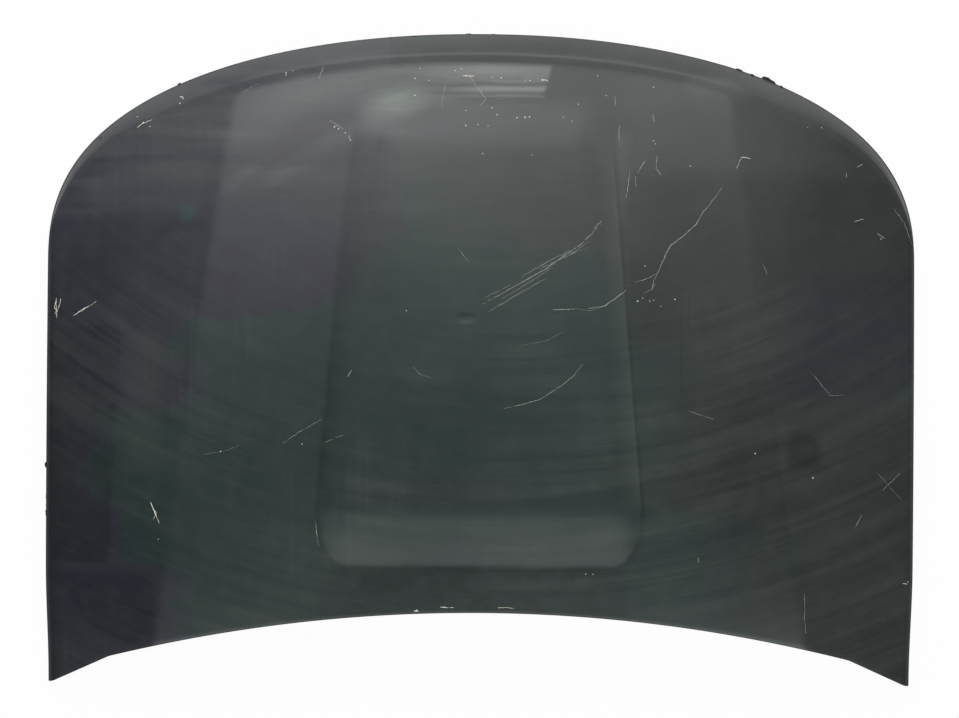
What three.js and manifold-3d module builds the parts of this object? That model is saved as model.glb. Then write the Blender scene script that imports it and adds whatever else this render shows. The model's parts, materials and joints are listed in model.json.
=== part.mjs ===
// A detached steel car bonnet: outer skin hemmed round a pressed inner panel, with its striker,
// hinge doublers, strut studs, bump stops, front seal and mastic drops.
// Millimetres. +Z is up through the outer skin, +Y is the front of the car, +X is the right of the photo.
import * as THREE from 'three';
import { mergeVertices } from 'three/addons/utils/BufferGeometryUtils.js';
import Module from 'manifold-3d';

const wasm = await Module();
wasm.setup();

// Plan outline of the skin
const overallWidth = 1500;
const frontCentreY = 561.5;
const frontCornerY = 165;
const frontBow = 2.1;
const frontCornerPower = 2.5;
const rearCentreY = -438;
const rearArcRadius = 2594;
const rearKinkX = 640;
const rearHornSlope = 0.455;
const hornRadius = 15;
const hornRise = 8;
const sideTuck = 5;
const sideTuckStartY = -360;
const sideTuckLength = 190;

// Height of the skin
const crownHeight = 150;
const crownY = -100;
const sideFall = 62;
const sideFallPower = 2.3;
const frontFall = 76;
const rearFall = 40;
const shoulderSlope = 0.16;
const shoulderBlend = 8;
const creaseFrontX = 425;
const creaseFrontY = 460;
const creaseSpread = 0.1425;
const sideRollWidth = 10;
const sideRollDrop = 4;

// Front band, the turned-down strip along the leading edge
const bandWidth = 38.5;
const bandTaper = 0.45;
const bandTaperStartX = 500;
const bandTaperLength = 230;
const bandEndPower = 80;
const bandFallNear = 0.5;
const bandFallFar = 0.5;
const bandFallLimit = 1.2;
const bandRowShare = 0.98;

// Raised centre dome
const domeHeight = 7;
const domeSlope = 60;
const domeTopEase = 0.3;
const domeFootFront = 222;
const domeFootFrontY = 400;
const domeFootSpread = 0.085;
const domeRearFootY = -358;
const domeRearTopY = -246;
const domeFadeStartY = 360;
const domeFadeEndY = 460;

// Sheet metal
const skinThickness = 0.8;
const innerThickness = 0.7;
const hemGap = 0.35;
const hemFlange = 8;
const hemFlangeAtHorn = 3;
const hornReach = 60;
const seatGap = 0.3;

// Pressed inner panel
const innerFlange = 16;
const beamWall = 18;
const beamFloor = 61;
const beamDepth = 18;
const fieldDepth = 5;
const ribFloor = 45;
const ribWall = 17;
const strikerSeatHalf = 60;
const lighteningHoles = [
  { x: 0, y: -190, rx: 64, ry: 56 },
  { x: 0, y: 150, rx: 64, ry: 64 },
  { x: 0, y: 320, rx: 64, ry: 44 },
  { x: 410, y: -235, rx: 46, ry: 62 },
  { x: 400, y: -95, rx: 42, ry: 36 },
  { x: 365, y: 130, rx: 34, ry: 62 },
  { x: 350, y: 290, rx: 30, ry: 56 },
  { x: 590, y: -215, rx: 24, ry: 60 },
  { x: 570, y: 90, rx: 40, ry: 46 },
];
const accessHoleRadius = 11;
const accessStretch = 1.6;
const accessFrontX = 300;
const accessFrontStep = 8;
const accessRear = [{ x: 250, y: -400 }, { x: 420, y: -412 }];

// Fasteners and fittings
const boltRadius = 4;
const boltClearance = 0.5;
const nutAcross = 13;
const nutHeight = 6.5;
const hingeBoltSpread = 24;
const doublerThickness = 2;
const hingeDoubler = { x: 42, y: 44 };
const strikerDoubler = { x: 104, y: 46 };
const strikerBase = { x: 84, y: 34, z: 2.5 };
const strikerBoltSpread = 66;
const loopWire = 4;
const loopWidth = 40;
const loopHeight = 34;
const loopBend = 12;
const screwHeadHeight = 6;
const screwFlange = 8.5;
const screwFlangeHeight = 1.8;
const screwPast = 2;
const edgeBreak = 1;
const studBall = 5;
const studNeck = 3.2;
const studLength = 16;
const studFlange = 9;
const studFlangeHeight = 3;
const rivetRadius = 5.2;
const rivetHeight = 2;
const bumpRadius = 11;
const bumpHeight = 13;
const bumpNeck = 5;
const bumpBarb = 7;
const bumpBarbHeight = 3;
const sealWidth = 9;
const sealHeight = 7;
const sealHalfLength = 430;
const sealRoot = 1;
const padRadius = 12;
const padTopRadius = 9.6;
const padClearance = 0.45;
const plateCorner = 6;

// Numbers of flats that the round pieces are made with
const windowSides = 18;
const accessSides = 14;
const boltSides = 12;
const turnedSides = 16;
const padSides = 10;
const cornerSegments = 4;
const wireSegments = 5;
const wireSteps = 22;
const sealStations = 26;

const hemRadius = (2 * skinThickness + innerThickness + 2 * hemGap) / 2;
const halfWidth = overallWidth / 2 - hemRadius;

const clamp01 = (value) => Math.min(1, Math.max(0, value));
const smooth = (value) => {
  const t = clamp01(value);
  return t * t * (3 - 2 * t);
};

// Plan outline, measured at the line where the hem starts to fold, moved inwards by inset
function frontEdge(x, inset) {
  const share = Math.min(1, Math.abs(x) / (halfWidth - inset));
  const reach = frontCentreY - hemRadius - frontCornerY - inset;
  return frontCornerY + reach * (1 - share ** frontBow) ** (1 / frontCornerPower);
}

function rearEdge(x, inset) {
  const side = Math.min(Math.abs(x), halfWidth);
  const arcX = Math.min(side, rearKinkX);
  const arc = rearArcRadius - Math.sqrt(rearArcRadius ** 2 - arcX ** 2);
  const horn = Math.max(0, side - rearKinkX) * rearHornSlope;
  const tip = clamp01((side - (halfWidth - hornRadius)) / hornRadius);
  const round = hornRise * (1 - Math.sqrt(1 - tip * tip));
  return rearCentreY + hemRadius - arc - horn + round + inset;
}

function sideEdge(y, inset) {
  return halfWidth - inset - sideTuck * smooth((sideTuckStartY - y) / sideTuckLength);
}

const creaseX = (y) => creaseFrontX + (creaseFrontY - y) * creaseSpread;
const domeFootX = (y) => domeFootFront + Math.max(0, domeFootFrontY - y) * domeFootSpread;

function bandWidthAt(x) {
  const side = Math.abs(x);
  const taper = 1 - bandTaper * smooth((side - bandTaperStartX) / bandTaperLength);
  return bandWidth * taper * (1 - Math.min(1, side / halfWidth) ** bandEndPower);
}

// Height of the dome above the plain crowned skin: a crisp foot with round rear corners, a soft top edge
function domeRise(x, y) {
  const across = clamp01((domeFootX(y) - Math.abs(x)) / domeSlope);
  const rear = clamp01((y - domeRearFootY) / (domeRearTopY - domeRearFootY));
  const climbed = clamp01(1 - Math.hypot(1 - across, 1 - rear));
  const steady = 1 - domeTopEase / 2;
  const eased = 1 - (1 - climbed) ** 2 / (2 * domeTopEase * steady);
  const share = climbed < 1 - domeTopEase ? climbed / steady : eased;
  const front = 1 - smooth((y - domeFadeStartY) / (domeFadeEndY - domeFadeStartY));
  return domeHeight * share * front;
}

// Height of the crowned skin without its dome
function plainHeight(x, y) {
  const side = Math.abs(x);
  const frontShare = Math.max(0, y - crownY) / (frontCentreY - crownY);
  const rearShare = Math.max(0, crownY - y) / (crownY + frontCentreY);
  const past = side - creaseX(y);
  const blend = clamp01((past + shoulderBlend) / (2 * shoulderBlend));
  const shoulder = past > shoulderBlend ? past : shoulderBlend * blend * blend;
  const roll = Math.max(0, side - (sideEdge(y, 0) - sideRollWidth)) / sideRollWidth;
  const band = bandWidthAt(x);
  const over = Math.max(0, y - (frontEdge(x, 0) - band));
  const down = band > 1 ? over * (bandFallNear + bandFallFar * Math.min(bandFallLimit, over / band)) : 0;
  return crownHeight
    - sideFall * (side / halfWidth) ** sideFallPower
    - frontFall * frontShare ** 2
    - rearFall * rearShare ** 2
    - shoulderSlope * shoulder
    - sideRollDrop * Math.min(1, roll) ** 2
    - down;
}

const skinHeight = (x, y) => plainHeight(x, y) + domeRise(x, y);

// Grid lines that run front to rear, on the features they follow, from the centre to the side
const sideSteps = [
  innerFlange + beamWall + beamFloor + beamWall,
  innerFlange + beamWall + beamFloor,
  innerFlange + beamWall + beamFloor * 0.67,
  innerFlange + beamWall + beamFloor * 0.33,
  innerFlange + beamWall,
  innerFlange + beamWall * 0.4,
  innerFlange,
  innerFlange * 0.56,
  innerFlange * 0.25,
  innerFlange * 0.06,
  0,
];

function columnPlaces(y, inset) {
  const foot = domeFootX(y);
  const crease = creaseX(y);
  const side = sideEdge(y, inset);
  const beam = side - sideSteps[0];
  const shoulder = crease + shoulderBlend;
  return [
    0,
    strikerSeatHalf,
    foot - domeSlope,
    foot,
    foot + ribFloor,
    foot + ribFloor + ribWall,
    crease - shoulderBlend,
    shoulder,
    shoulder + (beam - shoulder) / 3,
    shoulder + (beam - shoulder) * 2 / 3,
    ...sideSteps.map((step) => side - step),
  ];
}

const columnCount = columnPlaces(0, 0).length;
const ribColumns = [3, 4];
const bumpColumns = [8, 9];
const beamColumns = [11, 14];

function columnX(column, y, inset) {
  return Math.sign(column) * columnPlaces(y, inset)[Math.abs(column)];
}

// Row places along one column, from the rear edge to the front edge
const rearSteps = [0, innerFlange, innerFlange + beamWall, innerFlange + beamWall + beamFloor];
const fieldShares = [0, 0.05, 0.1, 0.18, 0.27, 0.36, 0.4, 0.46, 0.5, 0.6, 0.7, 0.8, 0.9, 1];
const hingeRows = [2, 3];
const studRows = [6, 7];
const crossRows = [10, 11];
const frontBeamRows = [18, 19];
const beamReach = sideSteps[0];
const edgeSolveSteps = 40;
const slopeStep = 0.5;
const steepestOffset = 60;
const closestRow = 6;

function meetEdge(column, edge, inset) {
  let y = 0;
  for (let step = 0; step < edgeSolveSteps; step += 1) {
    y = (y + edge(columnX(column, y, inset), inset)) / 2;
  }
  return y;
}

function rowPlaces(column, inset) {
  const rear = meetEdge(column, rearEdge, inset);
  const front = meetEdge(column, frontEdge, inset);
  const x = columnX(column, front, inset);
  const slope = (frontEdge(Math.abs(x) - slopeStep, inset) - front) / slopeStep;
  const flange = Math.min(steepestOffset, innerFlange * Math.hypot(1, slope));
  const band = bandWidthAt(x);
  const near = Math.max(closestRow, Math.min(flange, band * bandRowShare));
  const fieldRear = rear + beamReach;
  const fieldFront = front - beamReach;
  return [
    ...rearSteps.map((step) => rear + step),
    ...fieldShares.map((share) => fieldRear + share * (fieldFront - fieldRear)),
    front - (innerFlange + beamWall + beamFloor),
    front - Math.max(flange, band),
    front - near,
    front - near * 0.4,
    front,
  ];
}

const rowCount = rowPlaces(0, 0).length;

// Plan points of a sheet's grid, columns by rows
function planGrid(inset) {
  const grid = [];
  for (let column = 1 - columnCount; column < columnCount; column += 1) {
    const rows = rowPlaces(column, inset);
    grid.push(rows.map((y) => ({ x: columnX(column, y, inset), y })));
  }
  return grid;
}

// Indices of the grid's rim, counter-clockwise seen from above
function rimOf(grid) {
  const rim = [];
  const last = grid.length - 1;
  const top = grid[0].length - 1;
  for (let i = 0; i < last; i += 1) rim.push([i, 0]);
  for (let j = 0; j < top; j += 1) rim.push([last, j]);
  for (let i = last; i > 0; i -= 1) rim.push([i, top]);
  for (let j = top; j > 0; j -= 1) rim.push([0, j]);
  return rim;
}

// Collects triangles of one closed body
class Body {
  constructor() {
    this.points = [];
  }

  triangle(a, b, c) {
    this.points.push(...a, ...b, ...c);
  }

  quad(a, b, c, d) {
    this.triangle(a, b, c);
    this.triangle(a, c, d);
  }

  geometry() {
    const geometry = new THREE.BufferGeometry();
    geometry.setAttribute('position', new THREE.Float32BufferAttribute(this.points, 3));
    return geometry;
  }
}

// Faces of a grid of heights, looking up or down
function addSheetFace(body, grid, heightAt, up) {
  const at = (i, j) => [grid[i][j].x, grid[i][j].y, heightAt(i, j)];
  for (let i = 0; i + 1 < grid.length; i += 1) {
    for (let j = 0; j + 1 < grid[0].length; j += 1) {
      const near = [at(i, j), at(i + 1, j)];
      const far = [at(i + 1, j + 1), at(i, j + 1)];
      if (up) body.quad(near[0], near[1], far[0], far[1]);
      else body.quad(near[0], far[1], far[0], near[1]);
    }
  }
}

function solidFrom(geometry) {
  const bare = geometry.clone();
  bare.deleteAttribute('normal');
  bare.deleteAttribute('uv');
  const merged = mergeVertices(bare, 1e-4);
  const mesh = new wasm.Mesh({
    numProp: 3,
    vertProperties: new Float32Array(merged.attributes.position.array),
    triVerts: new Uint32Array(merged.index.array),
  });
  return new wasm.Manifold(mesh);
}

function geometryFrom(solid) {
  const mesh = solid.getMesh();
  const geometry = new THREE.BufferGeometry();
  geometry.setAttribute('position', new THREE.BufferAttribute(new Float32Array(mesh.vertProperties), 3));
  geometry.setIndex(new THREE.BufferAttribute(new Uint32Array(mesh.triVerts), 1));
  return geometry;
}

// An upright round or oval cutter, far taller than the sheets it goes through
function ovalCutter(x, y, rx, ry, sides) {
  const cutter = new THREE.CylinderGeometry(1, 1, 3 * crownHeight, sides);
  cutter.rotateX(Math.PI / 2);
  cutter.scale(rx, ry, 1);
  cutter.translate(x, y, crownHeight / 2);
  return solidFrom(cutter);
}

// The outer skin, with the hem folded down and back under the inner panel's edge
const skinGrid = planGrid(0);
const skinRim = rimOf(skinGrid);
const rimPoints = skinRim.map(([i, j]) => skinGrid[i][j]);

function rimNormal(index) {
  const count = rimPoints.length;
  const before = rimPoints[(index + count - 1) % count];
  const after = rimPoints[(index + 1) % count];
  const dx = after.x - before.x;
  const dy = after.y - before.y;
  const length = Math.hypot(dx, dy);
  return { x: dy / length, y: -dx / length };
}

function edgeDistance(x, y) {
  let nearest = Infinity;
  rimPoints.forEach((a, index) => {
    const b = rimPoints[(index + 1) % rimPoints.length];
    const span = (b.x - a.x) ** 2 + (b.y - a.y) ** 2;
    const along = clamp01(((x - a.x) * (b.x - a.x) + (y - a.y) * (b.y - a.y)) / span);
    nearest = Math.min(nearest, Math.hypot(x - a.x - along * (b.x - a.x), y - a.y - along * (b.y - a.y)));
  });
  return nearest;
}

const hornTip = rimPoints.reduce((low, point) => (point.y < low.y ? point : low));

// Section of the fold: how far out of the rim line each point is, and how far below the skin's top.
// The two points at the flange's tip have no out of their own: the flange's length there gives it.
const foldOut = Math.SQRT1_2 * hemRadius;
const foldSection = [
  { out: foldOut, down: hemRadius - foldOut },
  { out: hemRadius, down: hemRadius },
  { out: foldOut, down: hemRadius + foldOut },
  { out: 0, down: 2 * hemRadius },
  { tip: true, down: 2 * hemRadius },
  { tip: true, down: 2 * hemRadius - skinThickness },
  { out: 0, down: 2 * hemRadius - skinThickness },
  { out: hemRadius - skinThickness, down: hemRadius },
];

function hemRing(point) {
  return rimPoints.map((rim, index) => {
    const normal = rimNormal(index);
    const toHorn = Math.hypot(Math.abs(rim.x) - Math.abs(hornTip.x), rim.y - hornTip.y);
    const flange = hemFlangeAtHorn + (hemFlange - hemFlangeAtHorn) * smooth(toHorn / hornReach);
    const out = point.tip ? -flange : point.out;
    const x = rim.x + normal.x * out;
    const y = rim.y + normal.y * out;
    if (!point.tip) return [x, y, skinHeight(rim.x, rim.y) - point.down];
    const seatTop = innerOver(x, y) ?? skinHeight(x, y) - flangeDepth;
    const tipTop = seatTop - innerThickness - hemGap;
    return [x, y, tipTop + 2 * hemRadius - skinThickness - point.down];
  });
}

function outerPanel() {
  const body = new Body();
  const topAt = (i, j) => skinHeight(skinGrid[i][j].x, skinGrid[i][j].y);
  const lowAt = (i, j) => topAt(i, j) - skinThickness;
  addSheetFace(body, skinGrid, topAt, true);
  addSheetFace(body, skinGrid, lowAt, false);
  const topRing = skinRim.map(([i, j]) => [skinGrid[i][j].x, skinGrid[i][j].y, topAt(i, j)]);
  const lowRing = skinRim.map(([i, j]) => [skinGrid[i][j].x, skinGrid[i][j].y, lowAt(i, j)]);
  const rings = [topRing, ...foldSection.map(hemRing), lowRing];
  for (let ring = 0; ring + 1 < rings.length; ring += 1) {
    for (let k = 0; k < skinRim.length; k += 1) {
      const next = (k + 1) % skinRim.length;
      body.quad(rings[ring][k], rings[ring + 1][k], rings[ring + 1][next], rings[ring][next]);
    }
  }
  return body.geometry();
}

// Height of a sheet's flat facets at a plan point
function facetHeight(grid, heightAt, x, y) {
  let found = null;
  for (let i = 0; i + 1 < grid.length && found === null; i += 1) {
    for (let j = 0; j + 1 < grid[0].length && found === null; j += 1) {
      const corners = [[i, j], [i + 1, j], [i + 1, j + 1], [i, j + 1]];
      [[0, 1, 2], [0, 2, 3]].forEach((picks) => {
        const [a, b, c] = picks.map((pick) => {
          const [ci, cj] = corners[pick];
          return { ...grid[ci][cj], z: heightAt(ci, cj) };
        });
        const area = (b.x - a.x) * (c.y - a.y) - (c.x - a.x) * (b.y - a.y);
        const u = ((x - a.x) * (c.y - a.y) - (c.x - a.x) * (y - a.y)) / area;
        const v = ((b.x - a.x) * (y - a.y) - (x - a.x) * (b.y - a.y)) / area;
        const inside = u >= -1e-6 && v >= -1e-6 && u + v <= 1 + 1e-6;
        if (found === null && inside) found = a.z + u * (b.z - a.z) + v * (c.z - a.z);
      });
    }
  }
  return found;
}

const skinUnder = (x, y) => {
  const lowAt = (i, j) => skinHeight(skinGrid[i][j].x, skinGrid[i][j].y) - skinThickness;
  return facetHeight(skinGrid, lowAt, x, y);
};

// The pressed inner panel: edge flange, box beams round the rim, two long ribs and one cross rib
const innerInset = 1.5;
const innerGrid = planGrid(innerInset);
const flangeDepth = skinThickness + hemGap;
const sideBeamStart = columnCount - sideSteps.length;
const rearBeamEnd = rearSteps.length - 1;

function pressDepth(i, j) {
  const { x, y } = innerGrid[i][j];
  const column = Math.abs(i - (columnCount - 1));
  const fromEdge = edgeDistance(x, y);
  const inField = column < sideBeamStart && j > rearBeamEnd && j < frontBeamRows[0];
  const onRib = ribColumns.includes(column) || crossRows.includes(j);
  if (inField && fromEdge > innerFlange + beamWall) return onRib ? beamDepth : fieldDepth;
  const fall = clamp01((fromEdge - innerFlange - innerInset) / beamWall);
  return flangeDepth + (beamDepth - flangeDepth) * fall;
}

const innerTop = innerGrid.map((rows, i) => rows.map(({ x, y }, j) => {
  return Math.min(plainHeight(x, y) - pressDepth(i, j), (skinUnder(x, y) ?? Infinity) - hemGap);
}));

// Flat seats pressed into the beams: each names the grid columns and rows it spans
function flattenSeat(columns, rows) {
  const cells = [];
  for (let column = columns[0]; column <= columns[1]; column += 1) {
    for (let j = rows[0]; j <= rows[1]; j += 1) cells.push([column + columnCount - 1, j]);
  }
  const lowest = Math.min(...cells.map(([i, j]) => innerTop[i][j]));
  cells.forEach(([i, j]) => {
    innerTop[i][j] = lowest;
  });
  const points = cells.map(([i, j]) => innerGrid[i][j]);
  const middleOf = (values) => (Math.min(...values) + Math.max(...values)) / 2;
  const x = middleOf(points.map((point) => point.x));
  const y = middleOf(points.map((point) => point.y));
  return { x, y, top: lowest, bottom: lowest - innerThickness };
}

const mirrored = (columns) => [-columns[1], -columns[0]];
const hingeSeatRight = flattenSeat(beamColumns, hingeRows);
const hingeSeatLeft = flattenSeat(mirrored(beamColumns), hingeRows);
const studSeatRight = flattenSeat(beamColumns, studRows);
const studSeatLeft = flattenSeat(mirrored(beamColumns), studRows);
const bumpSeatRight = flattenSeat(bumpColumns, frontBeamRows);
const bumpSeatLeft = flattenSeat(mirrored(bumpColumns), frontBeamRows);
const strikerSeat = flattenSeat([-1, 1], frontBeamRows);

const boltHole = boltRadius + boltClearance;
const hingeBolts = (seat) => [-1, 1].map((side) => ({ x: seat.x, y: seat.y + side * hingeBoltSpread / 2 }));
const strikerBolts = [-1, 1].map((side) => ({ x: side * strikerBoltSpread / 2, y: strikerSeat.y }));

function innerPanel() {
  const body = new Body();
  const lowAt = (i, j) => innerTop[i][j] - innerThickness;
  addSheetFace(body, innerGrid, (i, j) => innerTop[i][j], true);
  addSheetFace(body, innerGrid, lowAt, false);
  const rim = rimOf(innerGrid);
  rim.forEach(([i, j], k) => {
    const [nextI, nextJ] = rim[(k + 1) % rim.length];
    const a = innerGrid[i][j];
    const b = innerGrid[nextI][nextJ];
    body.quad(
      [a.x, a.y, innerTop[i][j]],
      [a.x, a.y, lowAt(i, j)],
      [b.x, b.y, lowAt(nextI, nextJ)],
      [b.x, b.y, innerTop[nextI][nextJ]],
    );
  });
  let solid = solidFrom(body.geometry());
  const cut = (x, y, rx, ry, sides) => {
    solid = solid.subtract(ovalCutter(x, y, rx, ry, sides));
  };
  lighteningHoles.forEach(({ x, y, rx, ry }) => {
    cut(x, y, rx, ry, windowSides);
    if (x > 0) cut(-x, y, rx, ry, windowSides);
  });
  [hingeSeatLeft, hingeSeatRight].forEach((seat) => {
    hingeBolts(seat).forEach((bolt) => cut(bolt.x, bolt.y, boltHole, boltHole, boltSides));
  });
  strikerBolts.forEach((bolt) => cut(bolt.x, bolt.y, boltHole, boltHole, boltSides));
  const studHole = studNeck + seatGap;
  const bumpHole = bumpNeck + seatGap;
  const accessLong = accessHoleRadius * accessStretch;
  [studSeatLeft, studSeatRight].forEach((seat) => cut(seat.x, seat.y, studHole, studHole, boltSides));
  [bumpSeatLeft, bumpSeatRight].forEach((seat) => cut(seat.x, seat.y, bumpHole, bumpHole, boltSides));
  [-1, 1].forEach((side) => {
    const frontY = strikerSeat.y - accessFrontStep;
    cut(side * accessFrontX, frontY, accessHoleRadius, accessHoleRadius, accessSides);
    accessRear.forEach((hole) => cut(side * hole.x, hole.y, accessLong, accessHoleRadius, accessSides));
  });
  return geometryFrom(solid);
}

const innerOver = (x, y) => facetHeight(innerGrid, (i, j) => innerTop[i][j], x, y);

// A mastic drop that fills the space between inner panel and skin
function masticDrop(x, y) {
  const body = new Body();
  const ring = (radius, heightOf) => Array.from({ length: padSides }, (unused, k) => {
    const angle = (k / padSides) * 2 * Math.PI;
    const px = x + radius * Math.cos(angle);
    const py = y + radius * Math.sin(angle);
    return [px, py, heightOf(px, py)];
  });
  const top = ring(padTopRadius, (px, py) => skinUnder(px, py) - padClearance);
  const low = ring(padRadius, (px, py) => innerOver(px, py) + padClearance);
  const topMiddle = [x, y, skinUnder(x, y) - padClearance];
  const lowMiddle = [x, y, innerOver(x, y) + padClearance];
  for (let k = 0; k < padSides; k += 1) {
    const next = (k + 1) % padSides;
    body.triangle(topMiddle, top[k], top[next]);
    body.triangle(lowMiddle, low[next], low[k]);
    body.quad(low[k], low[next], top[next], top[k]);
  }
  return body.geometry();
}

// A flat plate with round holes and rounded corners, its lower face at height low
function plate(x, y, low, size, thickness, holes) {
  const corner = plateCorner;
  const shape = new THREE.Shape();
  const hx = size.x / 2;
  const hy = size.y / 2;
  shape.moveTo(-hx + corner, -hy);
  shape.lineTo(hx - corner, -hy);
  shape.absarc(hx - corner, -hy + corner, corner, -Math.PI / 2, 0, false);
  shape.lineTo(hx, hy - corner);
  shape.absarc(hx - corner, hy - corner, corner, 0, Math.PI / 2, false);
  shape.lineTo(-hx + corner, hy);
  shape.absarc(-hx + corner, hy - corner, corner, Math.PI / 2, Math.PI, false);
  shape.lineTo(-hx, -hy + corner);
  shape.absarc(-hx + corner, -hy + corner, corner, Math.PI, 1.5 * Math.PI, false);
  holes.forEach((hole) => {
    const ring = new THREE.Path();
    ring.absarc(hole.x - x, hole.y - y, boltHole, 0, 2 * Math.PI, true);
    shape.holes.push(ring);
  });
  const options = { depth: thickness, bevelEnabled: false, curveSegments: cornerSegments };
  const geometry = new THREE.ExtrudeGeometry(shape, options);
  geometry.translate(x, y, low);
  return geometry;
}

// A hexagon nut with its bore, its lower face at height low
function nut(x, y, low) {
  const shape = new THREE.Shape();
  const corner = nutAcross / Math.sqrt(3);
  for (let k = 0; k < 6; k += 1) {
    const angle = (k / 6) * 2 * Math.PI;
    if (k === 0) shape.moveTo(corner, 0);
    else shape.lineTo(corner * Math.cos(angle), corner * Math.sin(angle));
  }
  const bore = new THREE.Path();
  bore.absarc(0, 0, boltHole, 0, 2 * Math.PI, true);
  shape.holes.push(bore);
  const options = { depth: nutHeight, bevelEnabled: false, curveSegments: cornerSegments };
  const geometry = new THREE.ExtrudeGeometry(shape, options);
  geometry.translate(x, y, low);
  return geometry;
}

// A turned piece about an upright axis, from pairs of radius and height
function turned(x, y, pairs, sides) {
  const profile = pairs.map(([radius, height]) => new THREE.Vector2(radius, height));
  const geometry = new THREE.LatheGeometry(profile, sides);
  geometry.rotateX(Math.PI / 2);
  geometry.translate(x, y, 0);
  return geometry;
}

const doublerLow = (seat) => seat.top + seatGap;
const nutLow = (seat) => doublerLow(seat) + doublerThickness + seatGap;
const baseTop = strikerSeat.bottom - seatGap;
const baseLow = baseTop - strikerBase.z;

// The striker's wire: two legs joined by rounded bends
function strikerLoop() {
  const high = baseLow - seatGap;
  const low = baseLow - loopHeight;
  const half = loopWidth / 2;
  const at = (x, z) => new THREE.Vector3(x, strikerSeat.y, z);
  const path = new THREE.CurvePath();
  const bendZ = low + loopBend;
  const bendX = half - loopBend;
  path.add(new THREE.LineCurve3(at(-half, high), at(-half, bendZ)));
  path.add(new THREE.QuadraticBezierCurve3(at(-half, bendZ), at(-half, low), at(-bendX, low)));
  path.add(new THREE.LineCurve3(at(-bendX, low), at(bendX, low)));
  path.add(new THREE.QuadraticBezierCurve3(at(bendX, low), at(half, low), at(half, bendZ)));
  path.add(new THREE.LineCurve3(at(half, bendZ), at(half, high)));
  const section = new THREE.Shape();
  section.absarc(0, 0, loopWire, 0, 2 * Math.PI, false);
  const options = { steps: wireSteps, extrudePath: path, curveSegments: wireSegments };
  return new THREE.ExtrudeGeometry(section, options);
}

// A hexagon-headed screw from below, its shank through base, seat, doubler and nut
function strikerScrew(bolt) {
  const top = nutLow(strikerSeat) + nutHeight + screwPast;
  const headTop = baseLow - seatGap;
  const headLow = headTop - screwHeadHeight;
  const head = nutAcross / 2;
  return turned(bolt.x, bolt.y, [
    [0, headLow],
    [head - edgeBreak, headLow],
    [head, headLow + edgeBreak],
    [head, headTop - screwFlangeHeight],
    [screwFlange, headTop - screwFlangeHeight],
    [screwFlange, headTop],
    [boltRadius, headTop],
    [boltRadius, top - edgeBreak],
    [boltRadius - edgeBreak, top],
    [0, top],
  ], boltSides);
}

// A ball stud for a gas strut, its neck riveted through its seat
function strutStud(seat) {
  const face = seat.bottom - seatGap;
  const ballZ = face - studLength + studBall;
  const ball = [60, 30, 0, -30, -60].map((degrees) => {
    const angle = THREE.MathUtils.degToRad(-degrees);
    return [studBall * Math.cos(angle), ballZ + studBall * Math.sin(angle)];
  });
  return turned(seat.x, seat.y, [
    [0, ballZ - studBall],
    ...ball,
    [studNeck, face - studFlangeHeight],
    [studFlange, face - studFlangeHeight],
    [studFlange, face],
    [studNeck, face],
    [studNeck, seat.top + seatGap],
    [rivetRadius, seat.top + seatGap],
    [rivetRadius, seat.top + rivetHeight],
    [0, seat.top + rivetHeight],
  ], turnedSides);
}

// A rubber bump stop, its neck pushed through its seat
function bumpStop(seat) {
  const face = seat.bottom - seatGap;
  return turned(seat.x, seat.y, [
    [0, face - bumpHeight],
    [bumpRadius - 3 * edgeBreak, face - bumpHeight],
    [bumpRadius - edgeBreak, face - bumpHeight + 2 * edgeBreak],
    [bumpRadius, face - 2 * edgeBreak],
    [bumpRadius, face],
    [bumpNeck, face],
    [bumpNeck, seat.top + seatGap],
    [bumpBarb, seat.top + seatGap],
    [bumpNeck, seat.top + bumpBarbHeight],
    [0, seat.top + bumpBarbHeight + edgeBreak],
  ], turnedSides);
}

// The rubber seal clipped along the underside of the front hem
function frontSeal() {
  const body = new Body();
  const section = [[-0.5, 0], [0.5, 0], [0.5, -0.45], [0.3, -0.85], [0, -1], [-0.3, -0.85], [-0.5, -0.45]];
  const rings = [];
  for (let k = 0; k <= sealStations; k += 1) {
    const x = sealHalfLength * (2 * k / sealStations - 1);
    const middle = frontEdge(x, 0) - hemFlange - sealWidth;
    rings.push(section.map(([out, down]) => {
      const y = middle + out * sealWidth;
      const seatZ = innerOver(x, y) - innerThickness - padClearance;
      const centreZ = innerOver(x, middle) - innerThickness - padClearance;
      return [x, y, down === 0 ? seatZ : Math.min(seatZ, centreZ) - sealRoot + down * sealHeight];
    }));
  }
  const count = section.length;
  for (let k = 0; k < sealStations; k += 1) {
    for (let side = 0; side < count; side += 1) {
      const next = (side + 1) % count;
      body.quad(rings[k][side], rings[k + 1][side], rings[k + 1][next], rings[k][next]);
    }
  }
  for (let side = 1; side + 1 < count; side += 1) {
    body.triangle(rings[0][0], rings[0][side], rings[0][side + 1]);
    const end = rings[sealStations];
    body.triangle(end[0], end[side + 1], end[side]);
  }
  return body.geometry();
}

// Finishes
const satinPaint = new THREE.MeshStandardMaterial({ color: '#3b4143', roughness: 0.42, metalness: 0.1 });
const primerPaint = new THREE.MeshStandardMaterial({ color: '#33383a', roughness: 0.6, metalness: 0.1 });
const zincSteel = new THREE.MeshStandardMaterial({ color: '#9a9c98', roughness: 0.4, metalness: 0.9 });
const blackRubber = new THREE.MeshStandardMaterial({ color: '#17181a', roughness: 0.85, metalness: 0 });
const greyMastic = new THREE.MeshStandardMaterial({ color: '#5b5a55', roughness: 0.9, metalness: 0 });

const bonnet = new THREE.Group();

function addPiece(name, geometry, material) {
  const mesh = new THREE.Mesh(geometry, material.clone());
  mesh.name = name;
  bonnet.add(mesh);
  return mesh;
}

addPiece('outer_panel', outerPanel(), satinPaint);
addPiece('inner_panel', innerPanel(), primerPaint);

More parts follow.
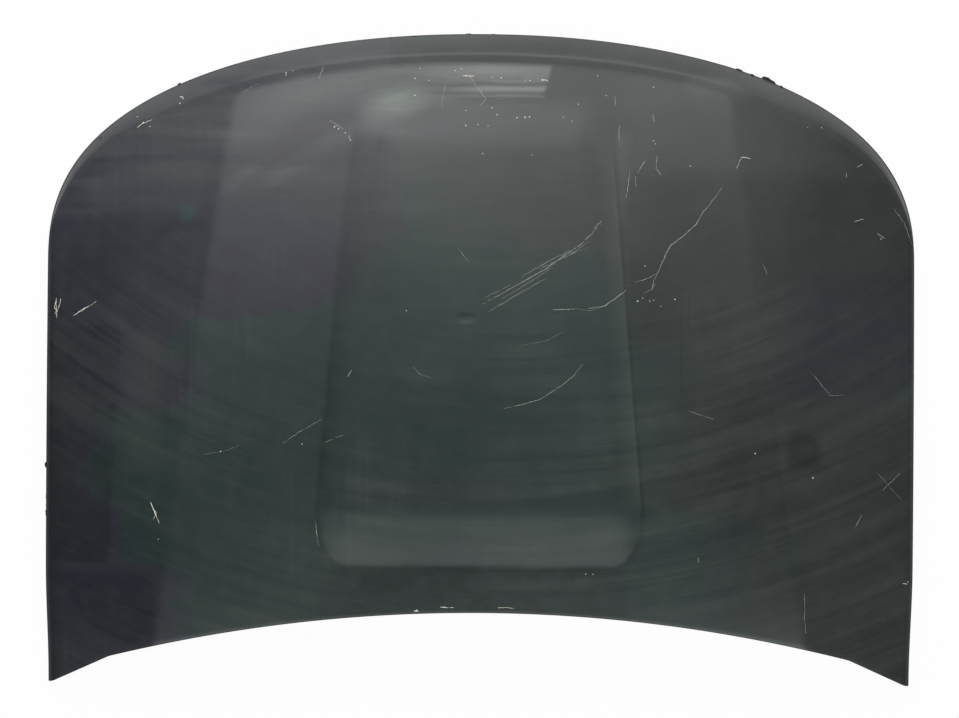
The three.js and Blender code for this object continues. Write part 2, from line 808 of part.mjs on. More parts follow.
[['left', hingeSeatLeft], ['right', hingeSeatRight]].forEach(([side, seat]) => {
  const bolts = hingeBolts(seat);
  const doubler = plate(seat.x, seat.y, doublerLow(seat), hingeDoubler, doublerThickness, bolts);
  addPiece(`hinge_reinforcement_${side}`, doubler, primerPaint);
  addPiece(`hinge_nut_${side}_rear`, nut(bolts[0].x, bolts[0].y, nutLow(seat)), zincSteel);
  addPiece(`hinge_nut_${side}_front`, nut(bolts[1].x, bolts[1].y, nutLow(seat)), zincSteel);
});

const { y: strikerY } = strikerSeat;
const strikerLow = doublerLow(strikerSeat);
const strikerPlate = plate(0, strikerY, strikerLow, strikerDoubler, doublerThickness, strikerBolts);
addPiece('striker_reinforcement', strikerPlate, primerPaint);
addPiece('striker_base', plate(0, strikerY, baseLow, strikerBase, strikerBase.z, strikerBolts), zincSteel);
addPiece('striker_loop', strikerLoop(), zincSteel);
['left', 'right'].forEach((side, index) => {
  const bolt = strikerBolts[index];
  addPiece(`striker_nut_${side}`, nut(bolt.x, bolt.y, nutLow(strikerSeat)), zincSteel);
  addPiece(`striker_screw_${side}`, strikerScrew(bolt), zincSteel);
});

addPiece('strut_stud_left', strutStud(studSeatLeft), zincSteel);
addPiece('strut_stud_right', strutStud(studSeatRight), zincSteel);
addPiece('bump_stop_left', bumpStop(bumpSeatLeft), blackRubber);
addPiece('bump_stop_right', bumpStop(bumpSeatRight), blackRubber);
addPiece('seal_front', frontSeal(), blackRubber);

const dropPlaces = [
  [120, -240], [120, 90], [110, 395], [375, -320], [365, 80], [320, 210], [470, -240], [440, 40], [410, 330],
];
dropPlaces.forEach(([x, y], index) => {
  const number = String(index + 1).padStart(2, '0');
  addPiece(`mastic_drop_left_${number}`, masticDrop(-x, y), greyMastic);
  addPiece(`mastic_drop_right_${number}`, masticDrop(x, y), greyMastic);
});

// The origin is the middle of the plan box, at the height of the lowest point
const box = new THREE.Box3().setFromObject(bonnet);
const middle = box.getCenter(new THREE.Vector3());
bonnet.position.set(-middle.x, -middle.y, -box.min.z);
bonnet.updateMatrixWorld(true);

export default bonnet;
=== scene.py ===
# %% [markdown]
# # A worn car bonnet, seen from above
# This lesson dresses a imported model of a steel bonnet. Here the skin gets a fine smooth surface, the
# metal and rubber get their finishes, and the scratches, chips and stains are laid where the paint shows
# them.

# %% Load the frame
import json
import math

import bpy
import numpy as np
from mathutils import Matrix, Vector, noise


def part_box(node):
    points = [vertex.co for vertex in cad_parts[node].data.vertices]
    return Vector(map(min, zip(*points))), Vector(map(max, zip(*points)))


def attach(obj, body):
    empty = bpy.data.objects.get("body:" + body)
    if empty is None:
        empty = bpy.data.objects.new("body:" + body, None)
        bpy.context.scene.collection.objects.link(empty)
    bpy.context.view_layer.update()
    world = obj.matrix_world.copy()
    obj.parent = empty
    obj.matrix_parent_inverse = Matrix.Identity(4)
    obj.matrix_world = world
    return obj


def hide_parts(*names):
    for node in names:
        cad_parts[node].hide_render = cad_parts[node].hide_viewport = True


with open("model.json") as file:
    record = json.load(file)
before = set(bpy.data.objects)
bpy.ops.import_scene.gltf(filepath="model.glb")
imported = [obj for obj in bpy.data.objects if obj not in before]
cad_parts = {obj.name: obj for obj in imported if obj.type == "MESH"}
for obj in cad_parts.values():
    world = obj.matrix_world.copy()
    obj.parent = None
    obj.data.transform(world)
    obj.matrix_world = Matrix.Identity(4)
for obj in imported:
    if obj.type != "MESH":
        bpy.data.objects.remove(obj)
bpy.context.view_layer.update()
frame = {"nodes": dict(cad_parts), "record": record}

# %% [markdown]
# ## Working in millimetres
# A bonnet is drawn in millimetres and Blender works in metres, so one factor turns one into the other.
# The photograph is read in its own pixels, and a second factor turns a pixel into millimetres on the part.

# %% Units and small helpers
MM = 0.001
PHOTO_MM_PER_PIXEL = 1.728
PHOTO_MIDDLE = (480.0, 358.5)
IMAGE_SIZE = (959, 718)


def clamp01(value):
    return np.clip(value, 0.0, 1.0)


def smooth(value):
    t = clamp01(value)
    return t * t * (3 - 2 * t)


def from_photo(px, py):
    """Place on the part, in millimetres, of a pixel of the photograph."""
    x = (px - PHOTO_MIDDLE[0]) * PHOTO_MM_PER_PIXEL
    y = (PHOTO_MIDDLE[1] - py) * PHOTO_MM_PER_PIXEL
    return x, y


def deselect_all():
    for each in bpy.context.selected_objects:
        each.select_set(False)


def make_active(piece):
    deselect_all()
    piece.select_set(True)
    bpy.context.view_layer.objects.active = piece


# %% [markdown]
# ## The shape of the skin
# The real skin is one stamping: a crowned sheet with a raised middle, two creases that run back to the
# windscreen, and a band along the front edge that turns down. All of it follows a few sizes, so the
# surface is written as a height over the plan, with the same sizes as the construction.

# %% Sizes of the skin, in millimetres
OVERALL_WIDTH = 1500
FRONT_CENTRE_Y = 561.5
FRONT_CORNER_Y = 165
FRONT_BOW = 2.1
FRONT_CORNER_POWER = 2.5
REAR_CENTRE_Y = -438
REAR_ARC_RADIUS = 2594
REAR_KINK_X = 640
REAR_HORN_SLOPE = 0.455
HORN_RADIUS = 15
HORN_RISE = 8
SIDE_TUCK = 5
SIDE_TUCK_START_Y = -360
SIDE_TUCK_LENGTH = 190
CROWN_HEIGHT = 150
CROWN_Y = -100
SIDE_FALL = 62
SIDE_FALL_POWER = 2.3
FRONT_FALL = 76
REAR_FALL = 40
SHOULDER_SLOPE = 0.16
SHOULDER_BLEND = 8
CREASE_FRONT_X = 425
CREASE_FRONT_Y = 460
CREASE_SPREAD = 0.1425
SIDE_ROLL_WIDTH = 10
SIDE_ROLL_DROP = 4
BAND_WIDTH = 38.5
BAND_TAPER = 0.45
BAND_TAPER_START_X = 500
BAND_TAPER_LENGTH = 230
BAND_END_POWER = 80
BAND_FALL_NEAR = 0.5
BAND_FALL_FAR = 0.5
BAND_FALL_LIMIT = 1.2
DOME_HEIGHT = 7
DOME_SLOPE = 60
DOME_TOP_EASE = 0.3
DOME_FOOT_FRONT = 222
DOME_FOOT_FRONT_Y = 400
DOME_FOOT_SPREAD = 0.085
DOME_REAR_FOOT_Y = -358
DOME_REAR_TOP_Y = -246
DOME_FADE_START_Y = 360
DOME_FADE_END_Y = 460
SKIN_THICKNESS = 0.8
HEM_RADIUS = 1.5
HEM_FLANGE = 8
HALF_WIDTH = OVERALL_WIDTH / 2 - HEM_RADIUS

# %% The skin's outline and height


def front_edge(x):
    share = np.minimum(1.0, np.abs(x) / HALF_WIDTH)
    reach = FRONT_CENTRE_Y - HEM_RADIUS - FRONT_CORNER_Y
    return FRONT_CORNER_Y + reach * (1 - share ** FRONT_BOW) ** (1 / FRONT_CORNER_POWER)


def rear_edge(x):
    side = np.minimum(np.abs(x), HALF_WIDTH)
    arc_x = np.minimum(side, REAR_KINK_X)
    arc = REAR_ARC_RADIUS - np.sqrt(REAR_ARC_RADIUS ** 2 - arc_x ** 2)
    horn = np.maximum(0.0, side - REAR_KINK_X) * REAR_HORN_SLOPE
    tip = clamp01((side - (HALF_WIDTH - HORN_RADIUS)) / HORN_RADIUS)
    rounding = HORN_RISE * (1 - np.sqrt(1 - tip * tip))
    return REAR_CENTRE_Y + HEM_RADIUS - arc - horn + rounding


def side_edge(y):
    return HALF_WIDTH - SIDE_TUCK * smooth((SIDE_TUCK_START_Y - y) / SIDE_TUCK_LENGTH)


def crease_x(y):
    return CREASE_FRONT_X + (CREASE_FRONT_Y - y) * CREASE_SPREAD


def dome_foot_x(y):
    return DOME_FOOT_FRONT + np.maximum(0.0, DOME_FOOT_FRONT_Y - y) * DOME_FOOT_SPREAD


def band_width(x):
    side = np.abs(x)
    taper = 1 - BAND_TAPER * smooth((side - BAND_TAPER_START_X) / BAND_TAPER_LENGTH)
    return BAND_WIDTH * taper * (1 - np.minimum(1.0, side / HALF_WIDTH) ** BAND_END_POWER)


def dome_rise(x, y):
    """Height of the dome: a crisp foot with round rear corners and a soft top edge."""
    across = clamp01((dome_foot_x(y) - np.abs(x)) / DOME_SLOPE)
    rear = clamp01((y - DOME_REAR_FOOT_Y) / (DOME_REAR_TOP_Y - DOME_REAR_FOOT_Y))
    climbed = clamp01(1 - np.hypot(1 - across, 1 - rear))
    steady = 1 - DOME_TOP_EASE / 2
    eased = 1 - (1 - climbed) ** 2 / (2 * DOME_TOP_EASE * steady)
    share = np.where(climbed < 1 - DOME_TOP_EASE, climbed / steady, eased)
    front = 1 - smooth((y - DOME_FADE_START_Y) / (DOME_FADE_END_Y - DOME_FADE_START_Y))
    return DOME_HEIGHT * share * front


def plain_height(x, y):
    side = np.abs(x)
    front_share = np.maximum(0.0, y - CROWN_Y) / (FRONT_CENTRE_Y - CROWN_Y)
    rear_share = np.maximum(0.0, CROWN_Y - y) / (CROWN_Y + FRONT_CENTRE_Y)
    past = side - crease_x(y)
    blend = clamp01((past + SHOULDER_BLEND) / (2 * SHOULDER_BLEND))
    shoulder = np.where(past > SHOULDER_BLEND, past, SHOULDER_BLEND * blend * blend)
    roll = np.maximum(0.0, side - (side_edge(y) - SIDE_ROLL_WIDTH)) / SIDE_ROLL_WIDTH
    band = band_width(x)
    over = np.maximum(0.0, y - (front_edge(x) - band))
    steep = BAND_FALL_NEAR + BAND_FALL_FAR * np.minimum(BAND_FALL_LIMIT, over / np.maximum(band, 1.0))
    down = np.where(band > 1, over * steep, 0.0)
    return (
        CROWN_HEIGHT
        - SIDE_FALL * (side / HALF_WIDTH) ** SIDE_FALL_POWER
        - FRONT_FALL * front_share ** 2
        - REAR_FALL * rear_share ** 2
        - SHOULDER_SLOPE * shoulder
        - SIDE_ROLL_DROP * np.minimum(1.0, roll) ** 2
        - down
    )


def skin_height(x, y):
    return plain_height(x, y) + dome_rise(x, y)


# %% [markdown]
# The frame's origin is the middle of the plan box on the floor, while the sizes above start from the
# drawing's own origin. The two differ by a small shift, which is measured on the frame's skin.

# %% Shift from the drawing to the frame
PLAN_SHIFT_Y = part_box("outer_panel")[1].y / MM - FRONT_CENTRE_Y
frame_points = np.array([v.co for v in frame["nodes"]["outer_panel"].data.vertices]) / MM
highest = frame_points[np.argmax(frame_points[:, 2])]
FLOOR_LIFT = float(highest[2] - skin_height(highest[0], highest[1] - PLAN_SHIFT_Y))
print("plan shift", round(PLAN_SHIFT_Y, 3), "mm; floor lift", round(FLOOR_LIFT, 3), "mm")


def on_skin(x, y, above=0.0):
    """Point on the skin over a place in the plan, in metres in the frame."""
    z = skin_height(x, y - PLAN_SHIFT_Y) + FLOOR_LIFT + above
    return np.stack([np.asarray(x) * MM, np.asarray(y) * MM, z * MM], axis=-1)


# %% [markdown]
# ## The fine skin
# A flat grid with many cells is added first. Its columns are then drawn onto lines that run from the
# windscreen to the front, over the dome's foot and the crease, and its rows between the two edges. The
# outer layers of cells become the hem, which folds down and back under the inner panel. A sheet like
# this could be pulled up with subdivision surfaces, but the crease and the band would soften, so the
# vertices are set from the height above. Solidify then gives the sheet its real thickness.

# %% Grid lines of the fine skin
HEM_LAYERS = [(math.sin(math.radians(a)), 1 - math.cos(math.radians(a))) for a in range(30, 181, 30)]
FLANGE_SHARES = [0.5, 1.0]
LAYERS = len(HEM_LAYERS) + len(FLANGE_SHARES)
CREASE_HALF_STRIP = 14
COLUMN_PARTS = (14, 12, 14, 8, 52)
ROW_PARTS = (14, 36, 70, 16)
EDGE_SOLVE_STEPS = 40
BAND_STRIP_LEAST = 3.0
DOME_FOOT_MARGIN = 16
DOME_TOP_MARGIN = 10


def half_columns(y):
    """Column places from the middle to the side, for an array of y, as a list of arrays."""
    foot = dome_foot_x(y)
    crease = crease_x(y)
    side = side_edge(y)
    stops = [
        np.zeros_like(y),
        foot - DOME_SLOPE,
        foot,
        crease - CREASE_HALF_STRIP,
        crease + CREASE_HALF_STRIP,
    ]
    places = []
    for part, count in enumerate(COLUMN_PARTS[:-1]):
        for step in range(count):
            places.append(stops[part] + (stops[part + 1] - stops[part]) * step / count)
    for step in range(COLUMN_PARTS[-1] + 1):
        share = math.sin(math.pi / 2 * step / COLUMN_PARTS[-1])
        places.append(stops[-1] + (side - stops[-1]) * share)
    return places


def column_places(y):
    """One x for each column, y being one value for each column."""
    half = sum(COLUMN_PARTS)
    table = np.array(half_columns(y))
    index = np.arange(-half, half + 1)
    return np.sign(index) * table[np.abs(index), np.arange(2 * half + 1)]


def meet_edge(edge):
    y = np.zeros(2 * sum(COLUMN_PARTS) + 1)
    for _ in range(EDGE_SOLVE_STEPS):
        y = (y + edge(column_places(y))) / 2
    return y


rear_y = meet_edge(rear_edge)
front_y = meet_edge(front_edge)
row_stops = [
    rear_y,
    np.full_like(rear_y, DOME_REAR_FOOT_Y - DOME_FOOT_MARGIN),
    np.full_like(rear_y, DOME_REAR_TOP_Y + DOME_TOP_MARGIN),
    front_y - np.maximum(BAND_STRIP_LEAST, band_width(column_places(front_y))),
    front_y,
]
rows = []
for part, count in enumerate(ROW_PARTS):
    rows += [row_stops[part] + (row_stops[part + 1] - row_stops[part]) * j / count for j in range(count)]
rows.append(front_y)
plan_y = np.array(rows).T
plan_x = np.array([column_places(row) for row in rows]).T
print("skin grid", plan_x.shape[0], "columns by", plan_x.shape[1], "rows")

# %% Hem rings round the grid
HORN_FLANGE = 3
HORN_FLANGE_REACH = 60
columns, row_count = plan_x.shape
rim = [(i, 0) for i in range(columns - 1)]
rim += [(columns - 1, j) for j in range(row_count - 1)]
rim += [(i, row_count - 1) for i in range(columns - 1, 0, -1)]
rim += [(0, j) for j in range(row_count - 1, 0, -1)]
rim_xy = np.array([(plan_x[p], plan_y[p]) for p in rim])
along = np.roll(rim_xy, -1, axis=0) - np.roll(rim_xy, 1, axis=0)
along /= np.linalg.norm(along, axis=1)[:, None]
rim_out = np.stack([along[:, 1], -along[:, 0]], axis=1)
horn_tip = rim_xy[np.argmin(rim_xy[:, 1])]
to_horn = np.hypot(np.abs(rim_xy[:, 0]) - abs(horn_tip[0]), rim_xy[:, 1] - horn_tip[1])
flange = HORN_FLANGE + (HEM_FLANGE - HORN_FLANGE) * smooth(to_horn / HORN_FLANGE_REACH)
rim_height = skin_height(rim_xy[:, 0], rim_xy[:, 1])
hem_rings = []
for out, down in HEM_LAYERS:
    moved = rim_xy + rim_out * out * HEM_RADIUS
    hem_rings.append(np.column_stack([moved, rim_height - down * HEM_RADIUS]))
for share in FLANGE_SHARES:
    moved = rim_xy - rim_out * (flange * share)[:, None]
    hem_rings.append(np.column_stack([moved, skin_height(moved[:, 0], moved[:, 1]) - 2 * HEM_RADIUS]))
rim_index = {place: k for k, place in enumerate(rim)}
print("hem rings", len(hem_rings), "of", len(rim), "points")

# %% Add the grid and set it to the skin
wide, deep = columns + 2 * LAYERS, row_count + 2 * LAYERS
deselect_all()
bpy.ops.mesh.primitive_grid_add(x_subdivisions=wide - 1, y_subdivisions=deep - 1, size=1)
skin = bpy.context.object
skin.name = "skin_surface"
start = np.array([v.co for v in skin.data.vertices])
grid_i = np.rint((start[:, 0] + 0.5) * (wide - 1)).astype(int) - LAYERS
grid_j = np.rint((start[:, 1] + 0.5) * (deep - 1)).astype(int) - LAYERS
near_i = np.clip(grid_i, 0, columns - 1)
near_j = np.clip(grid_j, 0, row_count - 1)
layer = np.maximum(np.abs(grid_i - near_i), np.abs(grid_j - near_j))
base_x = plan_x[near_i, near_j]
base_y = plan_y[near_i, near_j]
placed = np.column_stack([base_x, base_y, skin_height(base_x, base_y)])
for k in np.nonzero(layer)[0]:
    placed[k] = hem_rings[layer[k] - 1][rim_index[(near_i[k], near_j[k])]]
placed[:, 1] += PLAN_SHIFT_Y
placed[:, 2] += FLOOR_LIFT
skin.data.vertices.foreach_set("co", (placed * MM).ravel())
skin.data.update()

# %% Close the corners, give the sheet its thickness and smooth it
JOIN_DISTANCE = 0.00002
SLIVER_LENGTH = 0.00001
SKIN_SMOOTH_DEGREES = 38
make_active(skin)
bpy.ops.object.mode_set(mode="EDIT")
bpy.ops.mesh.select_all(action="SELECT")
bpy.ops.mesh.remove_doubles(threshold=JOIN_DISTANCE)
bpy.ops.mesh.dissolve_degenerate(threshold=SLIVER_LENGTH)
bpy.ops.object.mode_set(mode="OBJECT")
sheet = skin.modifiers.new("sheet", "SOLIDIFY")
sheet.thickness = SKIN_THICKNESS * MM
sheet.offset = -1
bpy.ops.object.modifier_apply(modifier="sheet")
bpy.ops.object.shade_smooth_by_angle(angle=math.radians(SKIN_SMOOTH_DEGREES))
print("skin faces", len(skin.data.polygons))
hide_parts("outer_panel")
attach(skin, "root")

# %% [markdown]
# ## One helper for materials
# Every finish below is a small tree of shader nodes. One function adds a node, sets it and links it.
# Colours are written as hex values, as a paint chart or a picture editor shows them, and turned to the
# linear values that the renderer works in.

# %% Colour and node helpers


def linear(hex_code):
    """Linear colour of an sRGB hex value."""
    parts = [int(hex_code[k:k + 2], 16) / 255 for k in (1, 3, 5)]
    return tuple(c / 12.92 if c <= 0.04045 else ((c + 0.055) / 1.055) ** 2.4 for c in parts) + (1.0,)


def add(tree, kind, inputs=None, out=0, **settings):
    """Adds a node with its settings, feeds its inputs with values or sockets, and gives one output back."""
    node = tree.nodes.new("ShaderNode" + kind)
    for key, value in settings.items():
        setattr(node, key, value)
    for key, value in (inputs or {}).items():
        if isinstance(value, bpy.types.NodeSocket):
            tree.links.new(value, node.inputs[key])
        else:
            node.inputs[key].default_value = value
    return node.outputs[out] if node.outputs else node


SOFT_STEP = {"interpolation_type": "SMOOTHSTEP"}
OF_COLOURS = {"out": 2, "data_type": "RGBA"}


def new_material(name):
    material = bpy.data.materials.new(name)
    material.use_nodes = True
    material.node_tree.nodes.clear()
    return material, material.node_tree


def give(piece, material):
    piece.data.materials.clear()
    piece.data.materials.append(material)


# %% [markdown]
# ## Satin paint, years old
# The paint is a dark basecoat that has lost its shine: rubbed with dust, wiped with rags and baked by the
# sun. Satin paint spreads the light, so its roughness is about 0.35, and a thin glossier layer on top
# keeps the edges of bright reflections readable. Its colour also carries painted reflections of the
# surroundings: violet on the left, green in the middle and brown on the right, with borders bent by noise.

# %% Satin paint: where each painted reflection hue ends
paint, tree = new_material("satin_basecoat")
place = add(tree, "TexCoord", out="Object")
across = add(tree, "SeparateXYZ", {0: place}, "X")
lengthways = add(tree, "SeparateXYZ", {0: place}, "Y")
wander = add(tree, "TexNoise", {"Vector": place, "Scale": 1000 / 130, "Detail": 6.0, "Roughness": 0.6})
wander = add(tree, "Math", {0: wander, 1: -0.5}, operation="ADD")
# painted reflections: violet at the left, green in the middle, brown at the right
REFLECTION_HUES = {"violet": "#2a2a34", "middle": "#233230", "brown": "#2d302f"}
HUE_REACH = 0.8
HUE_WANDER = 0.5
REFLECTION_HUE_EDGES = {
    # name: places where the border crosses, as (y, x) in millimetres
    "violet": [
        (-800, -560), (-400, -555), (-340, -600), (-115, -615), (-70, -525), (30, -500), (75, -400),
        (95, -225), (800, -215),
    ],
    "brown": [
        (-800, 420), (-430, 520), (-300, 520), (-250, 345), (60, 330), (150, 215), (300, -60), (800, -190),
    ],
}
HUE_SOFT = {"violet": 0.045, "brown": 0.11}
reflection_share = {}
along_share = add(tree, "MapRange", {0: lengthways, 1: -HUE_REACH, 2: HUE_REACH})
for hue, border in REFLECTION_HUE_EDGES.items():
    curve = tree.nodes.new("ShaderNodeFloatCurve")
    tree.links.new(along_share, curve.inputs["Value"])
    points = curve.mapping.curves[0].points
    while len(points) < len(border):
        points.new(0.5, 0.5)
    for point, (y, x) in zip(points, border):
        point.location = (0.5 + y * MM / (2 * HUE_REACH), 0.5 + x * MM / (2 * HUE_REACH))
    curve.mapping.update()
    border_x = add(tree, "MapRange", {0: curve.outputs[0], 3: -HUE_REACH, 4: HUE_REACH})
    past = add(tree, "Math", {0: across, 1: border_x}, operation="SUBTRACT")
    past = add(tree, "Math", {0: wander, 1: HUE_WANDER, 2: past}, operation="MULTIPLY_ADD")
    soft = HUE_SOFT[hue]
    reflection_share[hue] = add(tree, "MapRange", {0: past, 1: -soft, 2: soft}, **SOFT_STEP)
left_reflection_hues = {0: reflection_share["violet"], 6: linear(REFLECTION_HUES["violet"]), 7: linear(REFLECTION_HUES["middle"])}
# from here on the hue carries painted reflection, painted shade and painted light as well as real marks
hue = add(tree, "Mix", left_reflection_hues, **OF_COLOURS)
hue = add(tree, "Mix", {0: reflection_share["brown"], 6: hue, 7: linear(REFLECTION_HUES["brown"])}, **OF_COLOURS)
print("hue borders", {name: len(border) for name, border in REFLECTION_HUE_EDGES.items()})

# %% [markdown]
# Some places are painted darker or paler. The left outer panel, the dome's left slope, a strip just right
# of the dome and a strip left of the right crease carry painted shade; the dome's right and rear slopes and
# the front right carry painted light; and a painted glare lies near the front band on the right. The hollow
# behind the dome is darker, a smudge and a green spot mark the paint, and the other zones only change the
# colour there. Each is a soft-edged four-sided zone, given by its span in y and by where its left and right
# borders stand at the two ends of that span, all in millimetres. A finer noise bends their borders.

# %% Satin paint: zones of wear, painted shade and painted light
ZONES_OF_WEAR_AND_PAINTED_LIGHT = {
    # name: (span in y, left border, right border, softness, colour, share)
    # painted shade on the left outer panel
    "left_shade": ((-348, 60), (-790, -790), (-633, -613), (6, 6), "#11131a", 0.45),
    "left_edge_painted_shade": ((-600, 120), (-790, -790), (-716, -722), (14, 14), "#0c0d0f", 0.4),
    "left_pale_strip": ((-190, 50), (-604, -604), (-548, -545), (16, 16), "#454a47", 0.2),
    "low_wedge": ((-486, -366), (-640, -735), (-552, -552), (9, 9), "#181a26", 0.5),
    "right_shade": ((-460, 440), (440, 230), (563, 443), (90, 5), "#151616", 0.46),
    "blue_patch": ((-60, 150), (520, 560), (790, 760), (45, 45), "#252b36", 0.5),
    "smudge": ((-180, -122), (537, 537), (600, 590), (13, 13), "#0a0c0c", 0.5),
    "green_spot": ((240, 268), (-512, -508), (-492, -486), (9, 9), "#1c4a40", 0.55),
    # painted glare near the front band on the right
    "painted_glare": ((462, 494), (362, 362), (470, 440), (12, 12), "#7a7f7a", 0.12),
    # painted shade on the dome's left slope
    "dome_left_painted_shade": ((100, 396), (-250, -224), (-150, -150), (4, 30), "#14211f", 0.35),
    "right_band": ((120, 400), (600, 560), (790, 790), (30, 30), "#131515", 0.15),
    # painted light on the dome's right slope
    "dome_right_painted_light": ((245, 400), (238, 238), (254, 264), (9, 9), "#6a706c", 0.12),
    # painted shade just right of the dome's foot
    "right_of_dome_painted_shade": ((40, 200), (262, 262), (330, 300), (4, 40), "#151414", 0.35),
    "left_top": ((250, 440), (-760, -560), (-480, -440), (40, 12), "#565c60", 0.1),
    # painted shade on the left outer panel
    "left_mid_painted_shade": ((70, 240), (-790, -790), (-640, -625), (30, 20), "#11131a", 0.2),
    # painted light on the front right
    "front_right_painted_light": ((330, 500), (230, 250), (660, 520), (50, 50), "#5c645f", 0.13),
    "violet_band": ((-252, -190), (-220, -230), (90, 60), (18, 18), "#37303f", 0.28),
    "rear_hollow": ((-480, -352), (-270, -262), (270, 262), (10, 10), "#141918", 0.22),
    # painted light on the dome's rear slope
    "dome_rear_painted_light": ((-346, -262), (-262, -262), (262, 262), (12, 12), "#5b6663", 0.2),
}
LONGEST_END_SOFTNESS = 20
ZONE_WARP = (0.014, 0.014, 0.0)
warped = add(tree, "TexNoise", {"Vector": place, "Scale": 1000 / 60, "Detail": 5.0}, "Color")
warped = add(tree, "VectorMath", {0: warped, 1: ZONE_WARP, 2: place}, operation="MULTIPLY_ADD")
zone_x = add(tree, "SeparateXYZ", {0: warped}, "X")
zone_y = add(tree, "SeparateXYZ", {0: warped}, "Y")
for (low, high), left, right, softness, tint, share in ZONES_OF_WEAR_AND_PAINTED_LIGHT.values():
    end_soft = min(softness[0], LONGEST_END_SOFTNESS) * MM
    near, far = low * MM, high * MM
    part = share
    for end, side in ((near, 1), (far, -1)):
        span = {0: zone_y, 1: end - side * end_soft, 2: end + side * end_soft}
        inside = add(tree, "MapRange", span, **SOFT_STEP)
        part = add(tree, "Math", {0: inside, 1: part}, operation="MULTIPLY")
    for side, border, soft in ((1, left, softness[0] * MM), (-1, right, softness[1] * MM)):
        slope = {0: zone_y, 1: near, 2: far, 3: border[0] * MM, 4: border[1] * MM}
        at = add(tree, "MapRange", slope, clamp=False)
        past = add(tree, "Math", {0: zone_x, 1: at}, operation="SUBTRACT")
        reach = {0: past, 1: -side * soft, 2: side * soft}
        inside = add(tree, "MapRange", reach, **SOFT_STEP)
        part = add(tree, "Math", {0: part, 1: inside}, operation="MULTIPLY")
    hue = add(tree, "Mix", {0: part, 6: hue, 7: linear(tint)}, **OF_COLOURS)
print("worn zones", len(ZONES_OF_WEAR_AND_PAINTED_LIGHT))

# %% [markdown]
# A painted shade darkens the crisp foot of the raised middle and its left slope, and a painted light pales
# its right slope. The same sizes as in the skin's height give how far each point has climbed.

# %% Satin paint: the dome's foot
FOOT_LINE_SHARE = 0.45
FOOT_SHADE = "#0c0f0f"
side_x = add(tree, "Math", {0: across}, operation="ABSOLUTE")
foot_y = DOME_FOOT_FRONT_Y * MM
foot_ends = {3: float(dome_foot_x(-DOME_FOOT_FRONT_Y)) * MM, 4: float(dome_foot_x(DOME_FOOT_FRONT_Y)) * MM}
foot_x = add(tree, "MapRange", {0: lengthways, 1: -foot_y, 2: foot_y, **foot_ends}, clamp=False)
climb_side = add(tree, "Math", {0: side_x, 1: foot_x}, operation="SUBTRACT")
climb_side = add(tree, "MapRange", {0: climb_side, 1: -DOME_SLOPE * MM, 2: 0.0}, clamp=False)
climb_side = add(tree, "Math", {0: climb_side, 1: 0.0}, operation="MAXIMUM")
rear_slope = {0: lengthways, 1: DOME_REAR_TOP_Y * MM, 2: DOME_REAR_FOOT_Y * MM}
climb_rear = add(tree, "MapRange", rear_slope, clamp=False)
climb_rear = add(tree, "Math", {0: climb_rear, 1: 0.0}, operation="MAXIMUM")
short_of_top = add(tree, "CombineXYZ", {0: climb_side, 1: climb_rear})
short_of_top = add(tree, "VectorMath", {0: short_of_top}, "Value", operation="LENGTH")
outside = add(tree, "MapRange", {0: short_of_top, 1: 0.95, 2: 1.02})
near_foot = add(tree, "MapRange", {0: short_of_top, 1: 1.16, 2: 1.03})
foot_end = add(tree, "MapRange", {0: lengthways, 1: 0.41, 2: 0.30})
foot_shade_line = outside
for part in (near_foot, foot_end, FOOT_LINE_SHARE):
    foot_shade_line = add(tree, "Math", {0: foot_shade_line, 1: part}, operation="MULTIPLY")
on_slope = add(tree, "MapRange", {0: short_of_top, 1: 0.45, 2: 0.95})
within = add(tree, "MapRange", {0: short_of_top, 1: 1.03, 2: 0.99})
ahead = add(tree, "MapRange", {0: lengthways, 1: -0.28, 2: -0.22})
for part in (within, foot_end, ahead):
    on_slope = add(tree, "Math", {0: on_slope, 1: part}, operation="MULTIPLY")
left_slope_shade = add(tree, "MapRange", {0: across, 1: 0.0, 2: -0.01, 4: 0.35})
left_slope_shade = add(tree, "Math", {0: on_slope, 1: left_slope_shade}, operation="MULTIPLY")
right_slope_light = add(tree, "MapRange", {0: across, 1: 0.0, 2: 0.01, 4: 0.07})
right_slope_light = add(tree, "Math", {0: on_slope, 1: right_slope_light}, operation="MULTIPLY")
# painted shade along the dome's foot and on its left slope
foot_and_slope_shade = add(tree, "Math", {0: foot_shade_line, 1: left_slope_shade}, operation="ADD")
hue = add(tree, "Mix", {0: foot_and_slope_shade, 6: hue, 7: linear(FOOT_SHADE)}, **OF_COLOURS)
print("dome foot from", [round(x, 3) for x in foot_ends.values()], "m off the middle")

# %% [markdown]
# Hands and rags leave arcs. Seen from a point ahead of the car they are circles, so a noise pattern is
# laid on angle and distance from that point, long one way and some 26 mm wide the other, and a finer one
# on it gives single hairs. A second set of wipes runs slantwise over the front left, where the pale film is
# partly dust and partly a painted reflection, and a faint third one runs straight back over the left half.

